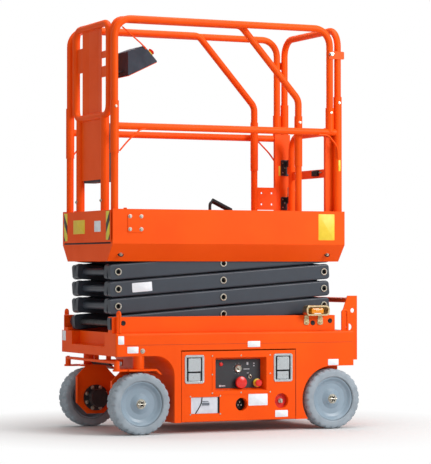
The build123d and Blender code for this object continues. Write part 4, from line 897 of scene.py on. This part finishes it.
# Extension rails: 35 mm tube, each side bent down at the front beside the closed front frame and tied to it by
# plates; the rear posts stand in sleeves with a bolt each
tube_radius = 0.0175
tube_bend = 0.06
side_rail_y = 0.2595
side_rail_z = 2.046
rail_joint_x = -0.300
rear_post_x = 0.3765
front_frame_x = -0.653
front_frame_half = 0.2225
frame_low, frame_high = 1.578, 2.034
extension_top = 0.962
sleeve_profile = [(0.0178, 0), (0.0205, 0.0004), (0.0205, 0.2566), (0.0178, 0.257)]
bm = bmesh.new()
for side, sign in (("near", -1), ("far", 1)):
    y = sign * side_rail_y
    front_bend = [(-0.645, y, 1.600), (-0.645, y, side_rail_z), (rail_joint_x, y, side_rail_z)]
    rear_bends = [
        (rail_joint_x, y, side_rail_z), (0.050, y, side_rail_z),
        (rear_post_x, y, 1.680), (rear_post_x, y, extension_top),
    ]
    run(bm, eased(front_bend, tube_bend)[:-1] + eased(rear_bends, 0.027), tube_radius, 0, 24)
    for z in (1.640, 1.885):
        tie = place("front", -0.648, sign * 0.241, z)
        pressed_form(bm, tie, rounded(0.030, 0.052, 0.003), [(0, 0), (0, 0.0050), (0.0006, 0.0056)], 0, False)
    turned_form(bm, place("top", rear_post_x, y, 1.339), sleeve_profile, 28)
    bolt_head(bm, place(side, rear_post_x, sign * 0.2797, 1.5634), 0.007, 1)
    leg = [Vector((front_frame_x, sign * 0.1675, z)) for z in (extension_top, 1.200, 1.574)]
    run(bm, leg, 0.0215, 0, 28)
corners = [
    (0, frame_low), (front_frame_half, frame_low), (front_frame_half, frame_high),
    (-front_frame_half, frame_high), (-front_frame_half, frame_low), (0, frame_low),
]
run(bm, eased([(front_frame_x, y, z) for y, z in corners], tube_bend, 8), tube_radius, 0, 24)
tubes = piece("extension_tubes", bm, [powder_orange, zinc_plate], "extension", 50)
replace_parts(tubes, "extension_side_rails", "extension_front_frame")

# Films on the front board: a hazard bar at each end, 115 mm from one black bar up to the next, and two blank
# labels between them
board_face = -0.6865
for name, middle, lean in (("near", -0.290, 1.3), ("far", 0.290, -1.3)):
    bm = bmesh.new()
    sticker(bm, "front", board_face, middle - 0.024, middle + 0.024, 0.956, 1.098)
    film = hazard_film("retroreflective_film_" + name, 115, lean)
    piece("hazard_bar_" + name, bm, [film], "extension")
bm = bmesh.new()
sticker(bm, "front", board_face, 0.02, 0.18, 0.99, 1.06)
piece("front_sign", bm, [yellow_vinyl], "extension")
bm = bmesh.new()
sticker(bm, "front", board_face, -0.195, -0.11, 0.998, 1.052)
piece("front_sticker", bm, [white_vinyl], "extension")

# Two narrow blank signs on the rear posts of the platform
bm = bmesh.new()
sticker(bm, "near", -0.3257, 0.574, 0.586, 1.316, 1.373)
sticker(bm, "near", 0.2812, 0.5325, 0.5435, 1.315, 1.368)
piece("post_signs", bm, [yellow_vinyl], "platform")

# Flat brackets that tie the upper front panel to its frame, and the bolts of the two legs
bracket_levels = [(0, 0), (0, 0.003), (0.0006, 0.0036)]
bm = bmesh.new()
for middle, z0, z1 in ((0.1690, 1.811, 1.936), (-0.1690, 1.862, 1.897), (-0.1690, 1.767, 1.822)):
    where = place("front", -0.6525, middle, (z0 + z1) / 2)
    pressed_form(bm, where, rounded(0.076, z1 - z0, 0.004), bracket_levels, 0, False)
for y in (-0.1675, 0.1675):
    bolt_head(bm, place("front", -0.6745, y, 1.153), 0.010, 1)
piece("front_brackets", bm, [powder_orange, zinc_plate], "extension")

# Hand-control box fittings: folded orange sole plate, red stop button in its yellow collar, bent guard rod. The
# sole follows the box's underside, and the button stands square on its rear face
bm = bmesh.new()
along, across = Vector((0.901, 0, 0.434)), Vector((0, -1, 0))
sole = Matrix((along, across, along.cross(across))).transposed().to_4x4()
sole = Matrix.Translation((-0.4545, -0.080, 1.8145)) @ sole
pressed_form(bm, sole, rounded(0.172, 0.196, 0.004), [(0, 0), (0, 0.0024), (0.0006, 0.003)])
across, facing = Vector((0, 1, 0)), Vector((0.735, 0, 0.678))
button = Matrix((across.cross(facing), across, facing)).transposed().to_4x4()
button = Matrix.Translation((-0.4105, -0.150, 1.8920)) @ button
turned_form(bm, button, [(0.021, 0), (0.021, 0.007), (0.018, 0.009), (0.010, 0.009)], 28, 1)
button_head = [(0.009, 0.006), (0.009, 0.014), (0.0165, 0.017), (0.0175, 0.021), (0.013, 0.025), (0, 0.026)]
turned_form(bm, button, button_head, 28, 2)
guard = [(-0.590, -0.240, 2.012), (-0.4726, -0.196, 1.9404), (-0.432, -0.176, 1.912), (-0.424, -0.160, 1.906)]
run(bm, eased(guard, 0.02), 0.0036)
piece("control_box_fittings", bm, [powder_orange, yellow_nylon, red_button], "extension")

# Grip sleeve and foot plate of the lock lever
lever_y = 0.225
bm = bmesh.new()
grip = eased([(0.112, lever_y, 1.1745), (0.165, lever_y, 1.1496), (0.222, lever_y, 1.1228)], 0.01)
run(bm, grip, 0.0135, 0, 16)
foot = place("top", 0.100, lever_y, extension_top)
pressed_form(bm, foot, rounded(0.070, 0.050, 0.006), [(0, 0), (0, 0.004), (0.001, 0.005)], 1)
for x in (0.076, 0.124):
    bolt_head(bm, place("top", x, lever_y, extension_top + 0.005), 0.010, 2)
piece("lever_grip", bm, [black_moulding, cast_iron, zinc_plate], "extension")
